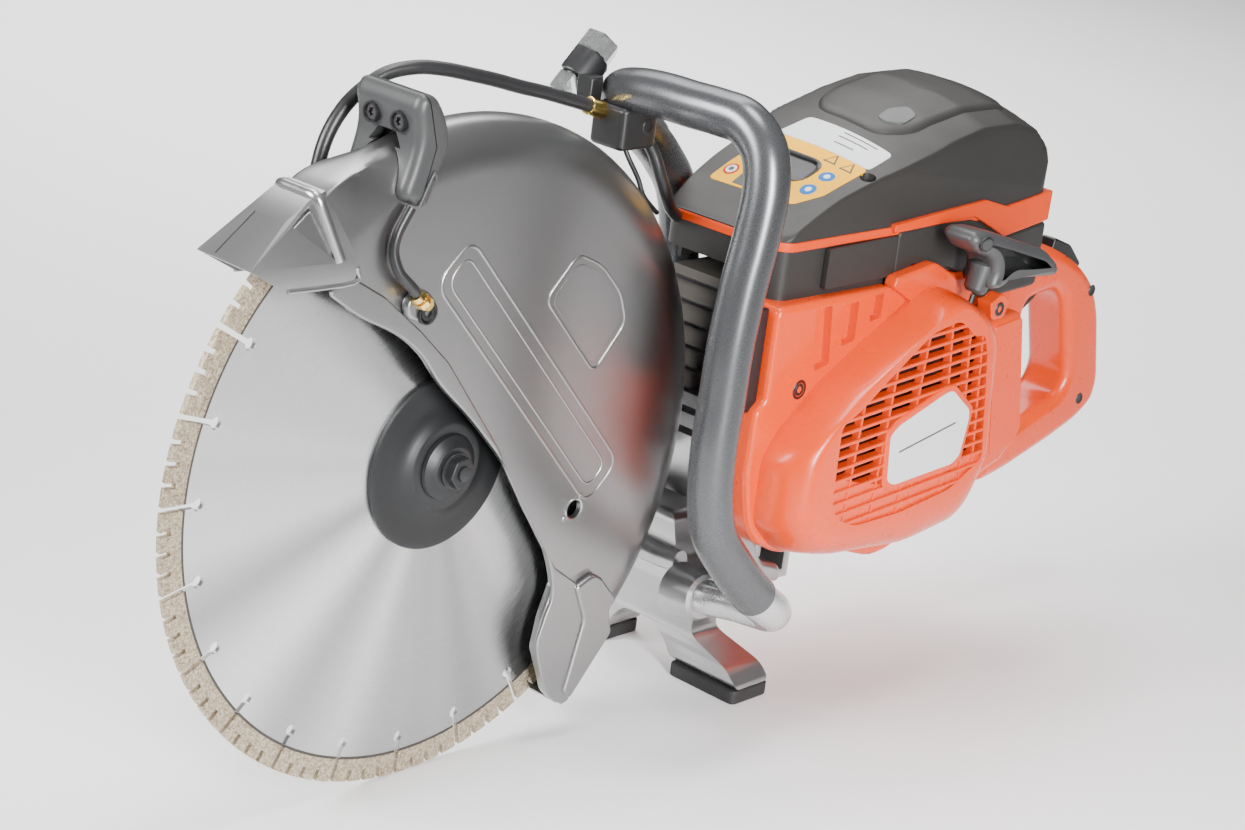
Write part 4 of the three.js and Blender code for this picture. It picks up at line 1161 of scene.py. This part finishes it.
def bands():
    wall_band("cover_trim", 0.7, SEAM_Z - 6, SEAM_Z - 0.2, 5, "orange_trim",
        ["trim_stripe"], 0.8)
    low_band = plate("lower_band", [footprint(-1.2), footprint(-4.2)], 87, SEAM_Z - 6, 0.4, 2, "z")
    gap = block("gap", 180, 230, -58, 60, 70, 101)
    low_band = carved(low_band, [gap])
    dressed(low_band, CHASSIS, "grey", ["cylinder_cover"])
    shoulder = fillet([(310, 121.6), (396, 123), (434, 105), (483, 111), (483, 132), (432, 126),
        (407, 133), (310, 127)], 2)
    dressed(plate("cover_shoulder", shoulder, BODY_LEFT - 1.4, BODY_LEFT + 6, 1, 2), CHASSIS,
        "orange_trim")
    cowl = plate("rear_cowl",
        fillet([(318, 92), (318, 122), (396, 122), (434, 104), (484, 110), (484, 64), (424, 62),
        (400, 74), (380, 90)], 5), BODY_LEFT + 0.4, BODY_LEFT + 8, 2, 3)
    socket = rod("socket", (338, -90, 91), (338, -60, 91), 7, sides=32)
    dressed(carved(cowl, [socket]), CHASSIS, "grey")
    panel = plate("band_panel", fillet([(249, 92), (323, 92), (317, 119), (249, 118)], 2), BODY_LEFT + 1,
        BODY_LEFT + 5, 0.4, 1)
    dressed(panel, CHASSIS, "grey")


# ---- starter side ----
HOUSING_EDGE = [
    (201, 88), (201, 27), (193, 22), (192, -22), (200, -54), (210, -68), (237, -81), (263, -84),
    (345, -93), (405, -89), (411, -80), (411, 60), (398, 86),
]


def starter_base():
    body = plate("starter_case", fillet(HOUSING_EDGE, 8, 4), BODY_LEFT - 4, -50, 4, 4)
    slots = []
    for corners in (
        [(237, 82), (253, 83), (258, 44), (244, 41)], [(265, 81), (280, 82), (281, 56), (268, 54)],
        [(292, 83), (305, 84), (305, 68), (294, 66)],
    ):
        slots.append(plate("slot", fillet(corners, 1.5), BODY_LEFT - 8, BODY_LEFT + 2.2))
    body = carved(body, slots, bevel=0.4, segments=2)
    dressed(body, CHASSIS, "orange", ["starter_housing"])
    strip = block("starter_front_strip", 189, 200, -72, -52, 20, 86, 1)
    dressed(strip, CHASSIS, "black")
    tab = plate("starter_tab",
        fillet([(309, 88), (312, 94), (352, 99), (374, 88), (388, 74), (340, 70)], 4), BODY_LEFT - 8,
        BODY_LEFT + 2, 2, 3)
    dressed(tab, CHASSIS, "orange")
    torx("case_screw_front", (232, BODY_LEFT - 4.2, 31), (0, -1, 0), 4.4, CHASSIS)
    cup = turned("case_cup", [(4.6, BODY_LEFT - 4.3), (6, BODY_LEFT - 4.4), (6.6, BODY_LEFT - 3.8),
        (4.6, BODY_LEFT - 3.4)], 232, 31, 40)
    dressed(cup, CHASSIS, "black")


BULGE_BASE = [
    (218, 9), (249, 33), (284, 52), (322, 71), (339, 83), (358, 83), (390, 69), (408, 52), (411, 40),
    (411, -72), (398, -87), (345, -93), (263, -84), (226, -74), (204, -52), (204, -8),
]
BULGE_TOP = [
    (238, 18), (254, 30), (284, 50), (320, 71), (346, 77), (356, 76), (377, 62), (388, 44), (402, -34),
    (378, -56), (332, -62), (275, -60), (240, -58), (222, -42), (222, -8), (228, 6),
]
GRILLE = [
    (238, 16), (254, 23), (284, 43), (319, 65), (345, 69), (353, 66), (367, 55), (377, 56), (384, 40),
    (398, -34), (366, -50), (314, -56), (268, -56), (248, -48), (240, -36),
]
CLOSED_VENTS = [(236, -50), (236, -22), (248, -22), (299, -35), (372, -33), (402, -30), (398, -44),
    (366, -54), (314, -60), (262, -60)]


def resampled(points, count):
    """Closed outline as evenly spaced points, starting at the first one."""
    lengths = [math.dist(a, b) for a, b in zip(points, points[1:] + points[:1])]
    total = sum(lengths)
    out = []
    for i in range(count):
        want = total * i / count
        k = 0
        while want > lengths[k]:
            want -= lengths[k]
            k += 1
        a, b = points[k], points[(k + 1) % len(points)]
        t = want / lengths[k]
        out.append((a[0] + (b[0] - a[0]) * t, a[1] + (b[1] - a[1]) * t))
    return out


def starter_bulge():
    count = 144
    base = resampled(fillet(BULGE_BASE, 8, 5), count)
    top = resampled(fillet(BULGE_TOP, 10, 5), count)
    hole = resampled(fillet(GRILLE, 5, 5), count)
    y0, y1 = BODY_LEFT - 3, BULGE_LEFT
    rings = []
    for k in range(9):
        a = math.pi / 2 * k / 8
        mix, rise = 1 - math.cos(a), math.sin(a)
        rings.append([(b[0] + (t[0] - b[0]) * mix, y0 + (y1 - y0) * rise, b[1] + (t[1] - b[1]) * mix)
            for b, t in zip(base, top)])
    rings.append([(h[0], y1 + 0.2, h[1]) for h in hole])
    rings.append([(h[0], y1 + 1.2, h[1]) for h in hole])
    rings.append([(h[0], y1 + 9, h[1]) for h in hole])
    rings.append([(b[0] + (t[0] - b[0]) * 0.7, y0 + 2, b[1] + (t[1] - b[1]) * 0.7)
        for b, t in zip(base, top)])
    bulge = loft("starter_bulge", rings, (False, False))
    dressed(bulge, CHASSIS, "orange", angle=50)


def inside(point, outline):
    x, z = point
    hit = False
    for (x0, z0), (x1, z1) in zip(outline, outline[1:] + outline[:1]):
        if (z0 > z) != (z1 > z) and x < (x1 - x0) * (z - z0) / (z1 - z0) + x0:
            hit = not hit
    return hit


ROW_SLOPE = 0.06
FRONT_LEAN, REAR_LEAN = 0.06, -0.14


def grille():
    y = BULGE_LEFT
    bars = []
    for row in range(16):
        z_left = -54 + row * 8
        path = []
        for k in range(41):
            x = 240 + k * 4
            z = z_left + (x - 240) * ROW_SLOPE
            if inside((x, z), GRILLE):
                path.append((x, z))
        if len(path) > 2:
            start, end = path[0], path[-1]
            wide = [(start[0] - 5, start[1] - 1.2), (end[0] + 5, end[1] - 1.2),
                (end[0] + 5, end[1] + 1.2), (start[0] - 5, start[1] + 1.2)]
            bars.append(plate("bar", wide, y + 0.4, y + 7, 0.6, 1))
    for x in (258, 286, 314, 352, 372, 386):
        lean = FRONT_LEAN if x < 340 else REAR_LEAN
        spans = [z for z in range(-56, 76, 2) if inside((x + (z + 10) * lean, z), GRILLE)]
        if len(spans) > 3:
            z0, z1 = spans[0] - 3, spans[-1] + 3
            a, b = x + (z0 + 10) * lean, x + (z1 + 10) * lean
            bars.append(plate("bar", [(a - 1.1, z0), (a + 1.1, z0), (b + 1.1, z1), (b - 1.1, z1)],
                y + 1.4, y + 7, 0.5, 1))
    dressed(combined("starter_grille", bars), CHASSIS, "orange")
    # Painted shade: a black sheet behind the grille stands for the dark inside of the housing.
    back = plate("starter_painted_shade", fillet(GRILLE, 6, 4), y + 12, y + 13)
    dressed(back, CHASSIS, "black")
    closed = plate("closed_vents", CLOSED_VENTS, y + 2.2, y + 5)
    dressed(closed, CHASSIS, "orange")


LABEL_EDGE = [(289, 1), (297, 7), (342, 21), (350, 22), (372, 5), (373, -1), (369, -26), (362, -31),
    (300, -34), (293, -30)]


def label():
    frame_edge = fillet([(285, 3), (295, 11), (343, 26), (352, 26), (377, 6), (377, -2), (373, -30),
        (364, -35), (298, -38), (289, -33)], 3)
    dressed(plate("label_frame", frame_edge, BULGE_LEFT - 0.6, BULGE_LEFT + 6, 1.2, 3), CHASSIS,
        "orange")
    face = plate("label_face", fillet(LABEL_EDGE, 3), BULGE_LEFT - 1.3, BULGE_LEFT + 1, 0.5, 2)
    dressed(face, CHASSIS, "white", ["label_plate"])
    line = plate("label_line", [(300, -12), (358, -2), (358, -0.8), (300, -10.8)], BULGE_LEFT - 1.5,
        BULGE_LEFT)
    dressed(line, CHASSIS, "grip_grey")


def starter_grip():
    outline = [(346, 121), (350, 127), (363, 126), (387, 119.5), (435, 105), (451, 94), (451, 85),
        (415, 88), (398, 90), (388, 84), (374, 86), (379, 98), (372, 107), (354, 113)]
    grip = plate("pull_grip", fillet(outline, 6, 5), -113, -84, 7, 5)
    grip = combined("pull_grip",
        [grip, rod("neck", (382, -98, 100), (376.3, -98, 80.5), 9.5, 7.5, sides=40, bevel=2)])
    dressed(grip, "starter_grip", "grip_grey", ["starter_handle"])
    badge = ellipse(359, 119, 7, 5)
    face = plate("pull_badge", badge, -113.8, -112, 0.6, 2)
    dressed(face, "starter_grip", "black")
    inner = ellipse(359, 119, 5.4, 3.6)
    dressed(plate("pull_badge_face", inner, -114.1, -112, 0.4, 2), "starter_grip",
        "grip_grey")
    lug = plate("rope_lug", fillet([(424, 50), (438, 50), (442, 62), (432, 68), (420, 62)], 3), -84, -72,
        1, 2)
    dressed(lug, CHASSIS, "orange")
    torx("lug_screw", (431, -84.5, 57), (0, -1, 0), 5, CHASSIS)
    keep("starter_rope", "black")


# ---- tank and rear handle ----
def tank():
    outline = [(413, -88), (452, -72), (480, -64), (491, -52), (494, -46), (482, 11), (476, 46),
        (441, 45), (414, 44)]
    body = plate("tank_shell", fillet(outline, 5), BODY_LEFT, 48, 5, 4)
    dressed(body, CHASSIS, "orange", ["fuel_tank"])
    panel = plate("tank_panel", fillet([(443, 40), (474, 43), (495, -41), (488, -53), (463, -57)], 4),
        BODY_LEFT - 0.9, BODY_LEFT + 4, 0.8, 3)
    dressed(panel, CHASSIS, "orange")
    cap = turned("cap_body", [(0.6, 44.6), (14.4, 44.6), (14.4, 49), (13.4, 51.4), (0.6, 52)], 446, -12,
        48)
    bar = plate("cap_bar", fillet(rect(434, -15, 458, -9), 2.5), 50.5, 55, 1.4, 3)
    dressed(combined("tank_lid", [cap, bar]), "tank_cap", "black", ["tank_cap"])


def rear_loop():
    outside = [
        (478, 86), (520, 83), (547, 74), (574, 61), (596, 44), (609, 22), (625, -32), (622, -50),
        (604, -62), (573, -72), (520, -86), (484, -92), (484, -61), (496, -50), (478, 46),
    ]
    window = [(510, 42), (548, 46), (562, 34), (581, -24), (574, -38), (550, -44), (515, -56), (507, -50)]
    body = plate("loop_handle", [fillet(outside, 12, 5), fillet(window, 10, 5)], HANDLE_Y - 20,
        HANDLE_Y + 20, 9, 5)
    slot_tool = block("slot", 506, 549, HANDLE_Y - 7.5, HANDLE_Y + 7.5, 20, 60, 0.5)
    press_tool = plate("slot", [(546, 62), (546, 92), (600, 92), (600, 50), (590, 42)], HANDLE_Y - 7.5,
        HANDLE_Y + 7.5, 0.5, 1)
    body = carved(body, [slot_tool, press_tool])
    dressed(body, CHASSIS, "orange", ["rear_handle"])
    trigger = plate("trigger_blade",
        fillet([(511, 34), (514, 49), (544, 52), (546, 44), (541, 38), (528, 30), (518, 28)], 3),
        HANDLE_Y - 6, HANDLE_Y + 6, 2, 3)
    dressed(trigger, "trigger", "black", ["throttle_trigger"])
    lock = plate("lockout_blade",
        fillet([(550, 68), (553, 80), (575, 72), (592, 56), (586, 51), (568, 60)], 3), HANDLE_Y - 6,
        HANDLE_Y + 6, 1.6, 3)
    dressed(lock, "lockout", "black", ["trigger_lockout"])
    for i, (x, z) in enumerate(((590, 40), (490, -40), (600, -44))):
        cup = turned(f"loop_cup_{i}",
            [(0.3, HANDLE_Y - 20.2), (3.2, HANDLE_Y - 20.2), (3.8, HANDLE_Y - 20.5),
            (4.4, HANDLE_Y - 19.9), (0.3, HANDLE_Y - 19.6)], x, z, 32)
        dressed(cup, CHASSIS, "black_steel")
    stop = block("stop_button", 500, 514, HANDLE_Y + 20.3, HANDLE_Y + 26, 62, 74, 1.2)
    dressed(stop, "stop_switch", "black", ["stop_switch"])
    knob = turned("choke_knob", [(0.5, 54.2), (7, 54.2), (8, 55.4), (8, 62.6), (7, 64), (0.5, 64)], 440,
        102, 40)
    dressed(knob, "choke", "black", ["choke_lever"])


# ---- drive side ----
def wrap(x0, z0, r0, x1, z1, r1, count=24):
    distance = math.hypot(x1 - x0, z1 - z0)
    lean = math.degrees(math.atan2(z1 - z0, x1 - x0))
    opening = math.degrees(math.acos((r0 - r1) / distance))
    return arc(x0, z0, r0, lean + opening, lean + 360 - opening, count) + arc(x1, z1, r1, lean - opening,
        lean + opening, count)


def belt_side():
    left, right = high("cutting_arm").y + 0.3, high("belt_guard").y
    cx, cz = CRANK.x, CRANK.z
    shell = plate("belt_cover", wrap(0, 0, 58, cx, cz, 52), left, right, 7, 5)
    hollow = plate("hollow", wrap(0, 0, 55, cx, cz, 49), left - 4, right - 3)
    vents = [plate("vent", fillet(rect(282 + i * 16, -38, 290 + i * 16, 12), 3), right - 6, right + 2)
        for i in range(5)]
    shell = carved(shell, [hollow, *vents])
    dressed(shell, CHASSIS, "grey", ["belt_guard"])
    groove = wrap(4, 0, 44, cx - 4, cz, 39)
    inner = wrap(4, 0, 41.4, cx - 4, cz, 36.4)
    ridge = plate("belt_cover_ridge", [groove, inner], right - 1, right, 0.8, 2)
    dressed(ridge, CHASSIS, "grey")
    for i, (x, z) in enumerate(((60, 44), (60, -46), (180, 40), (180, -48), (262, 26))):
        torx(f"belt_cover_screw_{i}", (x, right + 0.2, z), (0, 1, 0), 4.4, CHASSIS)
    side = plate("side_panel",
        fillet([(294, 50), (330, 46), (372, 36), (392, 16), (410, 16), (410, 86), (294, 86)], 6), 46, 58,
        4, 4)
    dressed(side, CHASSIS, "grey", ["side_cover"])
    for i in range(5):
        z = 46 + i * 7
        rib = plate(f"side_rib_{i}", fillet(rect(340, z, 400, z + 3), 1.2), 57, 59.2, 0.8, 2)
        dressed(rib, CHASSIS, "grey")


def louvres():
    x0, x1 = low("muffler_guard").x, high("muffler_guard").x
    fins = []
    for i in range(8):
        z = -26 + i * 14
        blade_fin = raw("fin", [
            (x0 - 2, -56, z + 7), (x0 - 2, 34, z + 7), (x1 + 14, 34, z), (x1 + 14, -56, z),
            (x0 - 2, -56, z + 9), (x0 - 2, 34, z + 9), (x1 + 14, 34, z + 2), (x1 + 14, -56, z + 2),
        ], [(0, 1, 2, 3), (7, 6, 5, 4), (0, 4, 5, 1), (1, 5, 6, 2), (2, 6, 7, 3), (3, 7, 4, 0)])
        fins.append(blade_fin)
    rims = [block("rim", x0, x1 + 4, -60, -56, -30, 86, 1), block("rim", x0, x1 + 4, 34, 37, -30, 86, 1)]
    piece = combined("louvre_panel", fins + rims)
    dressed(piece, CHASSIS, "black", ["muffler_guard"])


def belly():
    pan = plate("belly_pan", fillet([(290, -84), (318, -100), (350, -111), (372, -109), (392, -96),
        (404, -84)], 8, 5), -70, 30, 5, 4)
    dressed(pan, CHASSIS, "orange")
    strut = plate("front_casting",
        fillet([(206, 4), (216, 4), (222, -60), (240, -92), (262, -100), (262, -112), (228, -104),
        (208, -70), (200, -30)], 5), -64, -30, 4, 3)
    dressed(strut, CHASSIS, "cast")
    torx("front_casting_screw", (203, -66, -36), (0, -1, 0), 5.4, CHASSIS)


KEPT_NODES = {
    "black_steel": ("inner_flange", "clutch_drum", "clutch_hub", "cylinder"),
    "steel": ("blade_spindle", "spindle_bearing_left", "spindle_bearing_right", "crankshaft", "conrod",
    "recoil_spring"),
    "cast": ("cutting_arm", "crankcase", "piston", "flywheel", "driven_pulley", "carburettor"),
    "black": ("ignition_module", "starter_pulley"),
    "zinc": ("pulley_nut",),
    "rubber": ("drive_belt",),
    "white": ("spark_plug",),
    "iron": ("muffler",),
    "paper": ("air_filter",),
}


def internals():
    for material, nodes in KEPT_NODES.items():
        for node in nodes:
            keep(node, material)


# ---- studio ----
def studio():
    floor = bpy.data.meshes.new("floor")
    size = 6
    floor.from_pydata([(-size, -size, 0), (size, -size, 0), (size, size, 0), (-size, size, 0)], [],
        [(0, 1, 2, 3)])
    ground = link(bpy.data.objects.new("floor", floor))
    m = Nodes("floor_paint")
    tint = m.ramp(m.noise(2, 4), [(0.3, (0.93, 0.93, 0.93)), (0.7, (0.95, 0.95, 0.95))])
    m.link(tint, m.shader, "Base Color")
    m.link(m.spread(m.noise(40, 3), 0.55, 0.65), m.shader, "Roughness")
    floor.materials.append(m.material)
    sky()
    for name, place, aim, sizes, spread, power in (
        ("behind", (1.1, 1.6, 2.2), (1.1, 1.6, 0), (2.4, 2.4), 120, 85),
        ("left_strip", (-0.75, -1.7, 0.75), (0, 0, 0.2), (0.35, 1.3), 60, 13),
        ("front", (-1.9, 0.6, 1.2), (-0.1, 0, 0.2), (0.9, 0.9), 60, 11),
    ):
        data = bpy.data.lights.new(name, "AREA")
        data.shape = "RECTANGLE"
        data.size, data.size_y = sizes
        data.spread = math.radians(spread)
        data.energy = power
        lamp = link(bpy.data.objects.new(name, data))
        lamp.location = place
        lamp.rotation_euler = (Vector(aim) - Vector(place)).to_track_quat("-Z", "Y").to_euler()
    pool = bpy.data.lights.new("pool", "SPOT")
    pool.energy = 105
    pool.spot_size = math.radians(42)
    pool.spot_blend = 0.9
    pool.shadow_soft_size = 0.35
    link(bpy.data.objects.new("pool", pool)).location = (-0.12, -0.25, 2.2)


def sky():
    """Soft surround: bright overhead, darker towards the horizon."""
    world = bpy.data.worlds.new("studio")
    bpy.context.scene.world = world
    world.use_nodes = True
    nodes, links = world.node_tree.nodes, world.node_tree.links
    height = nodes.new("ShaderNodeSeparateXYZ")
    links.new(nodes.new("ShaderNodeTexCoord").outputs["Generated"], height.inputs[0])
    fade = nodes.new("ShaderNodeValToRGB")
    fade.color_ramp.elements[0].position = 0.0
    fade.color_ramp.elements[0].color = (0.06, 0.06, 0.065, 1)
    fade.color_ramp.elements[1].position = 0.75
    fade.color_ramp.elements[1].color = (1, 1, 1, 1)
    links.new(height.outputs[2], fade.inputs["Fac"])
    links.new(fade.outputs[0], nodes["Background"].inputs[0])
    nodes["Background"].inputs[1].default_value = 0.34


for make in (
    water_hose, blade, flange, guard, guard_marks, guard_nose, guard_tail, guard_block, nozzles,
    front_handle, hose_clamp, wrench, feet,
    cover_shell, cover_plateau, cover_labels, valve, bands, starter_base, starter_bulge, grille, label,
    starter_grip, tank, rear_loop,
    belt_side, louvres, belly, internals, studio,
):
    make()
